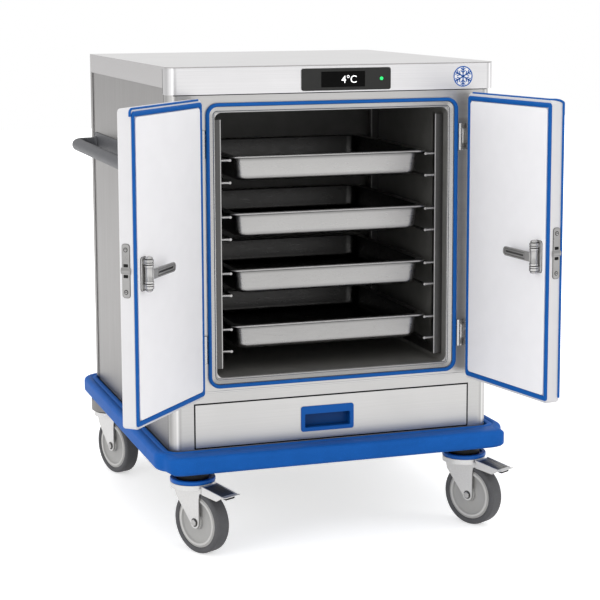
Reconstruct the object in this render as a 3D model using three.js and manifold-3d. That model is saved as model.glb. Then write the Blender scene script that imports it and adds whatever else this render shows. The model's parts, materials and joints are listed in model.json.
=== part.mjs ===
// An insulated cold chain cart: a stainless cabinet with foam walls, a dark cavity with four lift-out
// pans, two hinged doors, a drawer below, a cooling unit behind and a wrap-round bumper on four casters.
// Millimetres, +Z up. The cart faces -Y and +X is on the right of someone who faces it.
// The doors stand open at rest. The origin is on the floor, under the middle of the whole outline.
import * as THREE from "three";
import { mergeVertices } from "three/addons/utils/BufferGeometryUtils.js";
import Module from "manifold-3d";

const wasm = await Module();
wasm.setup();

// Fits shared by the whole cart
const seat = 0.3;
const overrun = 2;
const weld = 0.001;
const fullTurn = 2 * Math.PI;
const quarterTurn = Math.PI / 2;
const degree = Math.PI / 180;

// Overall sizes
const capWidth = 800;
const capDepth = 868;
const overallHeight = 1128;
const sheet = 1.5;

// Worktop cap and the header panel that carries the controls
const bandHeight = 48.5;
const capSheet = 2;
const headerHeight = 63;
const headerDepth = 42;
const headerRadius = 26;
const capEdgeRadius = 6;

// Cabinet shell
const bodyInset = 2;
const frameSetback = 12;
const backInset = 6;
const postRadius = 30;
const postWall = 3;
const framePlate = 5;
const lipPlate = 2;
const backFlange = 24;

// Cavity, its seal and the foam round it
const sealHalfWidth = 309;
const sealAboveFoot = 142;
const sealBelowTop = 83;
const sealWidth = 8;
const sealProud = 8;
const sealRadius = 28;
const lipWidth = 15;
const lipRadius = 15;
const cavityDepth = 535;
const linerWall = 1.5;
const foamBack = 50;

// Drawer and its runners
const drawerToSide = 54;
const drawerOpeningHeight = 108;
const drawerGap = 2.6;
const drawerFrontDepth = 14;
const drawerBoxDepth = 420;
const drawerBoxInset = 22;
const drawerBoxHeight = 82;
const drawerBoxWall = 1.5;
const runnerWidth = 12;
const runnerHeight = 36;
const runnerTongue = 3;
const runnerGap = 2.6;

// Blue cup pull in the drawer front
const pullWidth = 132;
const pullHeight = 61;
const pullOffset = -18;
const pullFlange = 7;
const pullProud = 2.5;
const pullCupDepth = 24;
const pullWall = 2.5;
const pullPocketShare = 0.58;
const pullRadius = 6;

// Doors and their hinges
const doorLap = 11;
const doorEndLap = 4.5;
const pinToSeal = 24;
const pinAhead = 25;
const pinBehindRim = 12;
const pinToDoor = 7;
const meetingHalfGap = 6;
const doorThickness = 34;
const doorEdgeRadius = 5;
const doorCornerRadius = 9;
const doorRim = 13;
const doorSheet = 3;
const doorSealWidth = 11;
const doorSealInset = 1.2;
const doorSealRadius = 8;
const panelProud = 4.2;
const leftDoorAngle = 132;
const rightDoorAngle = 101.2;
const hingeHalfHeight = 32;
const hingeInset = 93;
const hingeBarrelRadius = 6;
const hingePinRadius = 2.6;
const hingeBore = 2.9;
const hingeKnuckleHalf = 17;
const hingeLeaf = 2.5;
const hingeLeafReach = 24;
const hingeBossRadius = 8;
const hingeBossSunk = 3;
const hingeArm = 3.6;
const hingeLug = 5;

// Inner release latch and the roller catch on each door
const latchFromPin = 291;
const latchBelowMiddle = 9;
const latchPlateHalfHeight = 36;
const latchPlateWidth = 26;
const latchPlate = 3;
const latchStandoff = 13;
const latchBarrelRadius = 9.5;
const latchPinRadius = 4;
const latchBore = 4.3;
const latchBarrelHalf = 20;
const latchKnuckle = 12;
const latchCap = 6;
const latchCapRadius = 6.5;
const leverReach = 104;
const leverWidth = 22;
const leverTipWidth = 21;
const leverThickness = 5;
const leverSlotWidth = 5;
const leverSlotDepth = 2.2;
const leverWall = 6;
const leverRise = 2;
const catchAboveMiddle = 1;
const catchHalfHeight = 57;
const catchWidth = 18;
const catchPlate = 1.5;
const catchRadius = 6;
const rollerRadius = 8;
const rollerLength = 22;
const rollerProud = 5;
const catchScrewRadius = 3.4;
const catchScrewInset = 12;

// Pan rack
const uprightDepth = 21;
const uprightWidth = 14;
const uprightWall = 2;
const rackFront = 30;
const rackLength = 432;
const rackTopGap = 17;
const railRadius = 3.6;
const railInset = 22;
const lowerRailDrop = 52;
const rackTieHeight = 20;

// Lift-out pans
const panToLiner = 40;
const panLength = 484;
const panFront = 14;
const panTopShare = 0.166;
const panPitchShare = 0.215;
const panCount = 4;
const panDepth = 60;
const panRimWidth = 17;
const panRimDepth = 6;
const panDraft = 4;
const panWall = 1.2;
const panRimRadius = 26;
const panWallRadius = 24;
const panFootRadius = 14;
const panRimShare = 0.75;

// Chassis and bumper
const bumperHeight = 43;
const bumperSide = 39;
const bumperFront = 70;
const bumperRear = 39;
const bumperRadius = 58;
const bumperRound = 10;
const bumperStep = 6;
const bumperStepWidth = 13;
const beamWidth = 46;
const beamWall = 3;
const deckPlate = 3;

// Casters
const wheelRadius = 75;
const wheelWidth = 39;
const tyreDepth = 14;
const tyreShoulder = 6;
const hubBore = 6.4;
const axleRadius = 6;
const hubRim = 5;
const hubDish = 5;
const hubBossRadius = 17;
const casterTrail = 30;
const frontCasterInset = 54;
const frontCasterReach = 402;
const frontCasterYaw = -62;
const rearCasterInset = 18;
const rearCasterReach = 330;
const rearCasterYaw = -70;
const forkGap = 1.5;
const forkArm = 3;
const forkFoot = 14;
const frontHeadRadius = 53;
const rearHeadRadius = 47;
const forkHeadHeight = 12;
const wheelClearance = 4;
const bearingHeight = 34;
const forkRake = 34;
const forkShoulderDrop = 36;
const forkBackShare = 0.74;
const axleHeadRadius = 8;
const axleHead = 3;
const swivelRadius = 38;
const collarRadius = 53.5;
const collarHeight = 10;
const padGap = 4;
const padRadius = 54;
const padPostRadius = 17;
const pedalLength = 70;
const pedalDrop = 11;
const pedalSideHeight = 20;
const pedalPlate = 2;
const pedalToe = 10;
const pedalToeRise = 3;
const pedalGap = 1.6;
const pedalPinRadius = 3.5;
const pedalPinAhead = 11;
const pedalPinDrop = 10;
const pedalTongueWidth = 18;

// Push handle on the left side
const handleRadius = 16;
const handleReach = 58;
const handleTopGap = 235;
const handleBackReach = 360;
const handleFrontReach = 330;
const handleBend = 34;
const handlePlate = 3;
const handlePlateHeight = 58;
const handlePlateMargin = 26;

// Controls on the header
const bezelMiddle = 25;
const bezelWidth = 218;
const bezelBottomGap = 3.5;
const bezelHeight = 51;
const bezelProud = 3;
const bezelRadius = 5;
const windowMiddle = 16.5;
const windowWidth = 107;
const windowHeight = 36;
const windowSunk = 1;
const windowDepth = 1.2;
const lightX = 111;
const lightRadius = 4;
const lightProud = 1;

// Cooling unit behind the cavity
const compressorRadius = 78;
const compressorHeight = 205;
const compressorFootRadius = 60;
const compressorFoot = 20;
const compressorDomeShares = [[1, 0.72], [0.86, 0.9], [0.5, 1], [0, 1]];
const condenserWidth = 340;
const condenserHeight = 300;
const condenserDepth = 60;
const condenserCore = 16;
const condenserFins = 11;
const condenserFinShare = 0.4;
const fanOpening = 128;
const shroudPlate = 2;
const shroudDepth = 46;
const fanRadius = 120;
const fanHubRadius = 30;
const fanHubDepth = 26;
const fanBlades = 5;
const fanBladeWidth = 64;
const fanBladePlate = 2.5;
const fanBladePitch = 20;
const ventWidth = 260;
const ventSlot = 8;
const ventPitch = 26;
const ventCount = 12;
const ventBottomGap = 90;

// Triangles kept low: the steps of each kind of arc
const fineSteps = 5;
const coarseSteps = 3;
const wheelSides = 32;
const barrelSides = 20;
const smallSides = 12;
const railSides = 8;
const boltSides = 6;

// Planes and edges worked out from the sizes above
const capFront = -capDepth / 2;
const capBack = capDepth / 2;
const capHalf = capWidth / 2;
const bandBottom = overallHeight - bandHeight;
const headerBottom = overallHeight - headerHeight;
const headerBack = capFront + headerDepth;
const forkHeadTop = 2 * wheelRadius + wheelClearance + forkHeadHeight;
const forkShoulder = forkHeadTop - forkShoulderDrop;
const padTop = forkHeadTop + padGap;
const bumperBottom = forkHeadTop + bearingHeight;
const footHeight = bumperBottom + bumperHeight;
const bodyHalf = capHalf - bodyInset;
const bodyBack = capBack - backInset;
const frontCasterX = bodyHalf - frontCasterInset;
const rearCasterX = bodyHalf - rearCasterInset;
const frameFace = capFront + frameSetback;
const frameBack = frameFace + postRadius;
const plateBack = frameFace + framePlate;
const lipBack = plateBack + lipPlate;
const sealBottom = footHeight + sealAboveFoot;
const sealTop = overallHeight - sealBelowTop;
const sealMiddle = (sealBottom + sealTop) / 2;
const cavityHalf = sealHalfWidth - sealWidth - lipWidth;
const cavityBottom = sealBottom + sealWidth + lipWidth;
const cavityTop = sealTop - sealWidth - lipWidth;
const cavityBack = lipBack + cavityDepth;
const panRimHalfWidth = cavityHalf - panToLiner;
const pinHalfSpacing = sealHalfWidth + pinToSeal;
const cavityHeight = cavityTop - cavityBottom;
const panTopLevel = cavityTop - cavityHeight * panTopShare;
const panPitch = cavityHeight * panPitchShare;
const drawerGapTop = footHeight + drawerOpeningHeight;
const drawerGapHalfWidth = bodyHalf - drawerToSide;
const doorBottom = sealBottom - doorLap;
const doorTop = sealTop + doorLap;
const hingeLevels = { lower: sealBottom + hingeInset, upper: sealTop - hingeInset };
const latchHeight = sealMiddle - latchBelowMiddle;
const catchHeight = sealMiddle + catchAboveMiddle;
const handleHeight = overallHeight - handleTopGap;
const handleFront = -handleFrontReach;
const bezelLeft = bezelMiddle - bezelWidth / 2;
const bezelRight = bezelMiddle + bezelWidth / 2;
const windowLeft = windowMiddle - windowWidth / 2;
const windowRight = windowMiddle + windowWidth / 2;
const foamRear = cavityBack + linerWall + foamBack;
const shellTop = bandBottom - seat;

const finishes = {
  steel: { color: 0xc6c6c4, roughness: 0.38, metalness: 0.85 },
  sideSteel: { color: 0xacacaa, roughness: 0.42, metalness: 0.85 },
  darkLiner: { color: 0x1c1b1a, roughness: 0.5, metalness: 0.3 },
  foam: { color: 0xe6d9a8, roughness: 0.95, metalness: 0 },
  blueRubber: { color: 0x2662b4, roughness: 0.6, metalness: 0 },
  bluePlastic: { color: 0x2460b2, roughness: 0.4, metalness: 0 },
  whitePanel: { color: 0xededee, roughness: 0.45, metalness: 0 },
  bezel: { color: 0x383836, roughness: 0.5, metalness: 0 },
  glass: { color: 0x060606, roughness: 0.15, metalness: 0 },
  greenLight: { color: 0x1ee56f, roughness: 0.3, metalness: 0 },
  castZinc: { color: 0xb4b4b2, roughness: 0.3, metalness: 0.9 },
  zincSheet: { color: 0xd9d9d6, roughness: 0.3, metalness: 0.8 },
  greyTyre: { color: 0x5a5a5c, roughness: 0.8, metalness: 0 },
  greyHub: { color: 0xbcbcb8, roughness: 0.5, metalness: 0.1 },
  handleGrey: { color: 0x4a4a4c, roughness: 0.6, metalness: 0.1 },
  blackEnamel: { color: 0x222222, roughness: 0.4, metalness: 0.2 },
  fins: { color: 0x9fa2a6, roughness: 0.5, metalness: 0.8 },
};

// A piece's geometry as a solid, with its shared corners merged.
function solidFrom(geometry) {
  const bare = geometry.clone();
  bare.deleteAttribute("normal");
  bare.deleteAttribute("uv");
  const merged = mergeVertices(bare, weld);
  const vertProperties = merged.attributes.position.array;
  const triVerts = new Uint32Array(merged.index.array);
  return new wasm.Manifold(new wasm.Mesh({ numProp: 3, vertProperties, triVerts }));
}

function geometryFrom(solid) {
  const mesh = solid.getMesh();
  const geometry = new THREE.BufferGeometry();
  geometry.setAttribute("position", new THREE.BufferAttribute(mesh.vertProperties, 3));
  geometry.setIndex(new THREE.BufferAttribute(mesh.triVerts, 1));
  geometry.computeVertexNormals();
  return geometry;
}

function join(...geometries) {
  return geometryFrom(geometries.map(solidFrom).reduce((sum, next) => sum.add(next)));
}

function cut(geometry, ...tools) {
  return geometryFrom(tools.map(solidFrom).reduce((left, tool) => left.subtract(tool), solidFrom(geometry)));
}

// A box between two corners, whichever way round each pair is given.
function block(x0, x1, y0, y1, z0, z1) {
  const geometry = new THREE.BoxGeometry(Math.abs(x1 - x0), Math.abs(y1 - y0), Math.abs(z1 - z0));
  return geometry.translate((x0 + x1) / 2, (y0 + y1) / 2, (z0 + z1) / 2);
}

// A closed outline through the corners of a rectangle, each rounded.
function roundedRect(a0, a1, b0, b1, radius) {
  const left = Math.min(a0, a1);
  const right = Math.max(a0, a1);
  const shape = new THREE.Shape();
  shape.moveTo(left + radius, b0);
  shape.lineTo(right - radius, b0);
  shape.absarc(right - radius, b0 + radius, radius, -quarterTurn, 0);
  shape.lineTo(right, b1 - radius);
  shape.absarc(right - radius, b1 - radius, radius, 0, quarterTurn);
  shape.lineTo(left + radius, b1);
  shape.absarc(left + radius, b1 - radius, radius, quarterTurn, Math.PI);
  shape.lineTo(left, b0 + radius);
  shape.absarc(left + radius, b0 + radius, radius, Math.PI, 3 * quarterTurn);
  return shape;
}

function framed(outer, inner) {
  outer.holes.push(inner);
  return outer;
}

// Extrusions of an outline in XY along Z, in XZ along Y, and in YZ along X.
function rising(shape, z0, z1, steps = fineSteps) {
  const options = { depth: z1 - z0, bevelEnabled: false, curveSegments: steps };
  return new THREE.ExtrudeGeometry(shape, options).translate(0, 0, z0);
}

function facing(shape, y0, y1, steps = fineSteps) {
  const options = { depth: y1 - y0, bevelEnabled: false, curveSegments: steps };
  return new THREE.ExtrudeGeometry(shape, options).rotateX(quarterTurn).translate(0, y1, 0);
}

function sideways(shape, x0, x1, steps = fineSteps) {
  const options = { depth: Math.abs(x1 - x0), bevelEnabled: false, curveSegments: steps };
  const geometry = new THREE.ExtrudeGeometry(shape, options);
  return geometry.rotateX(quarterTurn).rotateZ(quarterTurn).translate(Math.min(x0, x1), 0, 0);
}

// An extrusion in XZ along Y whose front edge is rounded over.
function cushioned(shape, y0, y1, round, steps = fineSteps) {
  const options = {
    depth: y1 - y0 - round,
    bevelThickness: round,
    bevelSize: round,
    bevelOffset: -round,
    bevelSegments: 2,
    curveSegments: steps,
  };
  const geometry = new THREE.ExtrudeGeometry(shape, options).rotateX(quarterTurn).translate(0, y1, 0);
  const wide = 2 * overallHeight;
  return cut(geometry, block(-wide, wide, y1, y1 + wide, -wide, wide));
}

function outlineOf(points) {
  return new THREE.Shape(points.map(([a, b]) => new THREE.Vector2(a, b)));
}

// Round bars along Z, Y and X, each from one end to the other.
function barZ(x, y, z0, z1, radius, sides = barrelSides) {
  const geometry = new THREE.CylinderGeometry(radius, radius, z1 - z0, sides);
  return geometry.rotateX(quarterTurn).translate(x, y, (z0 + z1) / 2);
}

function barY(x, z, y0, y1, radius, sides = barrelSides) {
  const geometry = new THREE.CylinderGeometry(radius, radius, y1 - y0, sides);
  return geometry.translate(x, (y0 + y1) / 2, z);
}

function barX(y, z, x0, x1, radius, sides = barrelSides) {
  const geometry = new THREE.CylinderGeometry(radius, radius, Math.abs(x1 - x0), sides);
  return geometry.rotateZ(quarterTurn).translate((x0 + x1) / 2, y, z);
}

// A ring of points round a rectangle with rounded corners, level at z.
function roundedRing(halfWidth, front, back, radius, z, steps = fineSteps) {
  const corners = [
    [halfWidth - radius, front + radius, -quarterTurn],
    [halfWidth - radius, back - radius, 0],
    [-halfWidth + radius, back - radius, quarterTurn],
    [-halfWidth + radius, front + radius, Math.PI],
  ];
  return corners.flatMap(([x, y, start]) =>
    Array.from({ length: steps + 1 }, (_, i) => {
      const angle = start + (quarterTurn * i) / steps;
      return [x + radius * Math.cos(angle), y + radius * Math.sin(angle), z];
    }),
  );
}

// A closed skin through rings of equally many points, with a flat cap on the first and the last.
function loft(rings) {
  const count = rings[0].length;
  const corner = (ring, i) => ring * count + (i % count);
  const faces = [];
  for (let ring = 0; ring + 1 < rings.length; ring++) {
    for (let i = 0; i < count; i++) {
      faces.push(corner(ring, i), corner(ring, i + 1), corner(ring + 1, i + 1));
      faces.push(corner(ring, i), corner(ring + 1, i + 1), corner(ring + 1, i));
    }
  }
  const last = rings.length - 1;
  for (let i = 1; i + 1 < count; i++) {
    faces.push(corner(0, 0), corner(0, i + 1), corner(0, i));
    faces.push(corner(last, 0), corner(last, i), corner(last, i + 1));
  }
  const geometry = new THREE.BufferGeometry();
  geometry.setAttribute("position", new THREE.Float32BufferAttribute(rings.flat(2), 3));
  geometry.setIndex(faces);
  geometry.computeVertexNormals();
  return geometry;
}

function piece(group, name, geometry, finish) {
  const mesh = new THREE.Mesh(geometry, new THREE.MeshStandardMaterial(finishes[finish]));
  mesh.name = name;
  group.add(mesh);
  return mesh;
}

const cart = new THREE.Group();

// The top sheet covers the header too, and its band hangs round the sides and the back.
function worktopCap() {
  const frontRound = new THREE.Shape();
  frontRound.moveTo(-capHalf, capBack - capEdgeRadius);
  frontRound.lineTo(-capHalf, capFront + headerRadius);
  frontRound.absarc(-capHalf + headerRadius, capFront + headerRadius, headerRadius, Math.PI, 3 * quarterTurn);
  frontRound.lineTo(capHalf - headerRadius, capFront);
  frontRound.absarc(capHalf - headerRadius, capFront + headerRadius, headerRadius, -quarterTurn, 0);
  frontRound.lineTo(capHalf, capBack - capEdgeRadius);
  frontRound.absarc(capHalf - capEdgeRadius, capBack - capEdgeRadius, capEdgeRadius, 0, quarterTurn);
  frontRound.lineTo(-capHalf + capEdgeRadius, capBack);
  frontRound.absarc(-capHalf + capEdgeRadius, capBack - capEdgeRadius, capEdgeRadius, quarterTurn, Math.PI);
  const top = rising(frontRound, overallHeight - capSheet, overallHeight);
  const bandFront = headerBack + seat;
  const inside = capHalf - sheet;
  const low = bandBottom - overrun;
  const band = cut(
    block(-capHalf, capHalf, bandFront, capBack, bandBottom, overallHeight - capSheet / 2),
    block(-inside, inside, bandFront - overrun, capBack - sheet, low, overallHeight),
  );
  const corners = [-1, 1].map((side) => {
    const x = side * (capHalf - capEdgeRadius);
    const y = capBack - capEdgeRadius;
    const post = barZ(x, y, low - overrun, overallHeight + overrun, capEdgeRadius);
    return cut(block(x, x + side * capEdgeRadius * 2, y, y + capEdgeRadius * 2, low, overallHeight), post);
  });
  return join(top, cut(band, ...corners));
}

function headerPanel() {
  const outline = (inset) => {
    const half = capHalf - inset;
    const radius = headerRadius - inset;
    const front = capFront + inset;
    const shape = new THREE.Shape();
    shape.moveTo(-half, headerBack);
    shape.lineTo(-half, front + radius);
    shape.absarc(-half + radius, front + radius, radius, Math.PI, 3 * quarterTurn);
    shape.lineTo(half - radius, front);
    shape.absarc(half - radius, front + radius, radius, -quarterTurn, 0);
    shape.lineTo(half, headerBack);
    return shape;
  };
  const top = overallHeight - capSheet - seat;
  const body = rising(outline(0), headerBottom, top);
  const hollow = rising(outline(sheet), headerBottom + sheet, top + overrun);
  return cut(body, hollow.translate(0, overrun / 2, 0));
}

function controls() {
  const bottom = headerBottom + bezelBottomGap;
  const middle = bottom + bezelHeight / 2;
  const back = capFront - seat;
  const front = back - bezelProud;
  const plate = cushioned(
    roundedRect(bezelLeft, bezelRight, bottom, bottom + bezelHeight, bezelRadius),
    front, back, seat * 2, coarseSteps,
  );
  const pocketBack = front + windowSunk + windowDepth;
  const windowBottom = middle - windowHeight / 2;
  const windowTop = middle + windowHeight / 2;
  const pocket = block(windowLeft, windowRight, front - overrun, pocketBack, windowBottom, windowTop);
  const lightHole = barY(lightX, middle, front - overrun, pocketBack, lightRadius + seat, smallSides);
  piece(cart, "control_bezel", cut(plate, pocket, lightHole), "bezel");
  const glassBack = pocketBack - seat;
  const glass = block(
    windowLeft + seat, windowRight - seat, glassBack - windowDepth, glassBack,
    windowBottom + seat, windowTop - seat,
  );
  piece(cart, "display_window", glass, "glass");
  const light = barY(lightX, middle, front - lightProud, glassBack, lightRadius, smallSides);
  piece(cart, "status_light", light, "greenLight");
}

// One pressed plate with round corner posts, the stepped lip of the cavity and the drawer's opening.
function frontFrame() {
  const postX = bodyHalf - postRadius;
  const inner = postRadius - postWall;
  const outline = new THREE.Shape();
  outline.moveTo(-bodyHalf, frameBack);
  outline.absarc(-postX, frameBack, postRadius, Math.PI, 3 * quarterTurn);
  outline.lineTo(postX, frameFace);
  outline.absarc(postX, frameBack, postRadius, -quarterTurn, 0);
  outline.lineTo(bodyHalf - postWall, frameBack);
  outline.absarc(postX, frameBack, inner, 0, -quarterTurn, true);
  outline.lineTo(postX, plateBack);
  outline.lineTo(-postX, plateBack);
  outline.lineTo(-postX, frameFace + postWall);
  outline.absarc(-postX, frameBack, inner, 3 * quarterTurn, Math.PI, true);
  const plate = rising(outline, footHeight, headerBottom - seat);
  const stepHalf = sealHalfWidth - sealWidth;
  const stepRadius = sealRadius - sealWidth;
  const step = roundedRect(-stepHalf, stepHalf, sealBottom + sealWidth, sealTop - sealWidth, stepRadius);
  const gap = drawerGapHalfWidth;
  const ahead = frameFace - overrun;
  const behind = plateBack + overrun;
  const drawerOpening = block(-gap, gap, ahead, behind, footHeight - overrun, drawerGapTop);
  const opened = cut(plate, facing(step, ahead, behind), drawerOpening);
  const lipOuter = roundedRect(-sealHalfWidth, sealHalfWidth, sealBottom, sealTop, sealRadius);
  const lipHole = roundedRect(-cavityHalf, cavityHalf, cavityBottom, cavityTop, lipRadius);
  return join(opened, facing(framed(lipOuter, lipHole), plateBack - seat, lipBack));
}

function frameSeal() {
  const inner = sealHalfWidth - sealWidth;
  const outline = framed(
    roundedRect(-sealHalfWidth, sealHalfWidth, sealBottom, sealTop, sealRadius),
    roundedRect(-inner, inner, sealBottom + sealWidth, sealTop - sealWidth, sealRadius - sealWidth),
  );
  return cushioned(outline, frameFace - sealProud, frameFace - seat, sealWidth / 4);
}

function sidePanel(side) {
  const inside = side * (bodyHalf - sheet);
  return block(side * bodyHalf, inside, frameBack + seat, bodyBack - sheet - seat, footHeight, shellTop);
}

// The rear sheet wraps a little way round both sides and has a field of cooling slots.
function backPanel() {
  const half = bodyHalf + seat + sheet;
  const wall = block(-half, half, bodyBack - sheet, bodyBack, footHeight, shellTop);
  const flanges = [-1, 1].map((side) =>
    block(side * half, side * (half - sheet), bodyBack - backFlange, bodyBack, footHeight, shellTop),
  );
  const slots = Array.from({ length: ventCount }, (_, i) => {
    const z = footHeight + ventBottomGap + i * ventPitch;
    const reach = ventWidth / 2;
    return block(-reach, reach, bodyBack - sheet - overrun, bodyBack + overrun, z, z + ventSlot);
  });
  return cut(join(wall, ...flanges), ...slots);
}

// The foam fills the walls between the shell and the liner, and is notched for the drawer below.
function insulation() {
  const half = bodyHalf - sheet - seat;
  const narrow = bodyHalf - postRadius - postWall;
  const top = overallHeight - capSheet - seat;
  const bottom = drawerGapTop + seat;
  const body = block(-half, half, frameBack + seat, foamRear, bottom, shellTop);
  const nose = block(-narrow, narrow, lipBack + seat, frameBack + postWall, bottom, headerBottom - seat);
  const lid = block(-half, half, frameBack + seat + headerDepth / 2, foamRear, shellTop - overrun, top);
  const gap = linerWall + seat;
  const pocket = block(
    -cavityHalf - gap, cavityHalf + gap, lipBack - overrun, cavityBack + gap,
    cavityBottom - gap, cavityTop + gap,
  );
  return cut(join(body, nose, lid), pocket);
}

function liner() {
  const front = lipBack + seat;
  const outer = cavityHalf + linerWall;
  const shell = facing(
    roundedRect(-outer, outer, cavityBottom - linerWall, cavityTop + linerWall, lipRadius + linerWall),
    front, cavityBack + linerWall,
  );
  const inside = facing(
    roundedRect(-cavityHalf, cavityHalf, cavityBottom, cavityTop, lipRadius), front - overrun, cavityBack,
  );
  return cut(shell, inside);
}

// Two folded uprights and pairs of bent rails: the upper of each pair carries a pan's rim.
function rack(side) {
  const front = lipBack + rackFront;
  const back = front + rackLength;
  const outer = side * (cavityHalf - seat);
  const inner = outer - side * uprightDepth;
  const bottom = cavityBottom + lipRadius;
  const top = cavityTop - rackTopGap;
  const halfWidth = uprightWidth / 2;
  const uprights = [front, back].map((y) =>
    cut(
      block(inner, outer, y - halfWidth, y + halfWidth, bottom, top),
      block(inner + side * uprightWall, outer + side * overrun, y - halfWidth + uprightWall,
        y + halfWidth - uprightWall, bottom - overrun, top + overrun),
    ),
  );
  const railX = inner - side * railInset;
  const ends = side * uprightWall / 2;
  const rails = Array.from({ length: panCount }, (_, i) => panRimUnder(i) - seat - railRadius).flatMap((z) =>
    [z, z - lowerRailDrop].map((level) =>
      join(
        barY(railX, level, front - railRadius, back + railRadius, railRadius, railSides),
        barX(front, level, railX, inner + ends, railRadius, railSides),
        barX(back, level, railX, inner + ends, railRadius, railSides),
      ),
    ),
  );
  const tie = block(inner, inner + side * uprightWall, front, back, bottom, bottom + rackTieHeight);
  return join(...uprights, ...rails, tie);
}

function panRimUnder(index) {
  return panTopLevel - index * panPitch - panRimDepth;
}

// A deep-drawn pan: up the outside, over the rolled rim and down the inside, closed by two floors.
function pan(index) {
  const front = lipBack + panFront;
  const back = front + panLength;
  const rimTop = panTopLevel - index * panPitch;
  const rimUnder = panRimUnder(index);
  const floor = rimTop - panDepth;
  const ring = (inset, radius, z) =>
    roundedRing(panRimHalfWidth - inset, front + inset, back - inset, radius, z, coarseSteps + 1);
  const bodyTop = panRimWidth;
  const bodyFoot = panRimWidth + panDraft;
  const innerTop = bodyTop + panWall;
  const innerFoot = bodyFoot + panWall;
  return loft([
    ring(bodyFoot + panFootRadius, panWallRadius, floor),
    ring(bodyFoot + panFootRadius / 4, panWallRadius, floor + panFootRadius / 4),
    ring(bodyFoot, panWallRadius, floor + panFootRadius),
    ring(bodyTop, panWallRadius, rimUnder + panWall),
    ring(panRimWidth / 4, panRimRadius, rimUnder + panWall),
    ring(panRimWidth / 8, panRimRadius, rimUnder),
    ring(0, panRimRadius, rimUnder + panWall),
    ring(0, panRimRadius, rimTop - panWall),
    ring(panRimWidth / 8, panRimRadius, rimTop),
    ring(panRimWidth * panRimShare, panRimRadius - panRimWidth / 2, rimTop),
    ring(innerTop, panWallRadius, rimTop - panWall * 2),
    ring(innerFoot, panWallRadius, floor + panWall + panFootRadius),
    ring(innerFoot + panFootRadius / 4, panWallRadius, floor + panWall + panFootRadius / 4),
    ring(innerFoot + panFootRadius, panWallRadius, floor + panWall),
  ]);
}

// The drawer: a front with a hole for the pull, and a folded box that hangs on tongues in the runners.
function drawerBody() {
  const half = drawerGapHalfWidth - drawerGap;
  const bottom = footHeight + drawerGap;
  const top = drawerGapTop - drawerGap;
  const front = block(-half, half, frameFace, frameFace + drawerFrontDepth, bottom, top);
  const boxHalf = half - drawerBoxInset;
  const boxBottom = bottom + drawerBoxInset / 2;
  const boxBack = frameFace + drawerBoxDepth;
  const boxTop = boxBottom + drawerBoxHeight;
  const insideHalf = boxHalf - drawerBoxWall;
  const insideFront = frameFace + drawerFrontDepth;
  const insideBack = boxBack - drawerBoxWall;
  const insideBottom = boxBottom + drawerBoxWall;
  const box = cut(
    block(-boxHalf, boxHalf, frameFace + drawerFrontDepth / 2, boxBack, boxBottom, boxTop),
    block(-insideHalf, insideHalf, insideFront, insideBack, insideBottom, boxTop + overrun),
  );
  const tongues = [-1, 1].map((side) => {
    const z = drawerTongueLevel();
    const x = side * boxHalf;
    const tip = x + side * (runnerGap + runnerWidth / 2);
    const y = frameFace + drawerFrontDepth / 2;
    return block(x - side * drawerBoxWall / 2, tip, y, boxBack, z - runnerTongue / 2, z + runnerTongue / 2);
  });
  const cupHalf = pullWidth / 2 - pullFlange + seat;
  const cupBottom = pullBottom() + pullFlange - seat;
  const cupTop = pullBottom() + pullHeight - pullFlange + seat;
  const behind = frameFace + drawerFrontDepth + overrun;
  const cupLeft = pullOffset - cupHalf;
  const cupRight = pullOffset + cupHalf;
  const hole = block(cupLeft, cupRight, frameFace - overrun, behind, cupBottom, cupTop);
  return cut(join(front, box, ...tongues), hole);
}

function drawerTongueLevel() {
  return footHeight + drawerGap + drawerBoxInset / 2 + drawerBoxHeight / 2;
}

function pullBottom() {
  const middle = (footHeight + drawerGapTop) / 2;
  return middle - pullHeight / 2 - drawerGap;
}

function drawerPull() {
  const bottom = pullBottom();
  const half = pullWidth / 2;
  const outline = roundedRect(pullOffset - half, pullOffset + half, bottom, bottom + pullHeight, pullRadius);
  const flangeBack = frameFace - seat;
  const flange = cushioned(outline, flangeBack - pullProud, flangeBack, pullProud / 2, coarseSteps);
  const cupHalf = half - pullFlange;
  const cupBack = frameFace + pullCupDepth;
  const cupBottom = bottom + pullFlange;
  const cupTop = bottom + pullHeight - pullFlange;
  const cupFront = frameFace - seat - pullProud / 2;
  const cup = block(pullOffset - cupHalf, pullOffset + cupHalf, cupFront, cupBack, cupBottom, cupTop);
  const pocketTop = cupBottom + pullHeight * pullPocketShare;
  const pocketHalf = cupHalf - pullWall;
  const pocket = facing(
    roundedRect(pullOffset - pocketHalf, pullOffset + pocketHalf, cupBottom + pullWall, pocketTop, pullWall),
    frameFace - pullProud - overrun, cupBack - pullWall, coarseSteps,
  );
  const throat = block(
    pullOffset - pocketHalf, pullOffset + pocketHalf, frameFace + drawerFrontDepth / 2, cupBack - pullWall,
    pocketTop - overrun, cupTop - pullWall,
  );
  return cut(join(flange, cup), pocket, throat);
}

function drawerRunner(side) {
  const boxHalf = drawerGapHalfWidth - drawerGap - drawerBoxInset;
  const inner = side * (boxHalf + runnerGap);
  const outer = inner + side * runnerWidth;
  const z = drawerTongueLevel();
  const y0 = frameBack + seat;
  const y1 = frameFace + drawerBoxDepth + runnerWidth;
  const rail = block(inner, outer, y0, y1, z - runnerHeight / 2, z + runnerHeight / 2);
  const grooveFloor = inner + side * (runnerWidth / 2 + runnerGap);
  const grooveHalf = runnerTongue / 2 + seat;
  const groove = block(
    inner - side * overrun, grooveFloor, y0 - overrun, y1 - runnerWidth / 2, z - grooveHalf, z + grooveHalf,
  );
  const web = block(outer - side * sheet, side * (bodyHalf - sheet - seat), y0, y1, z - sheet, z + sheet);
  return join(cut(rail, groove), web);
}

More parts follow.
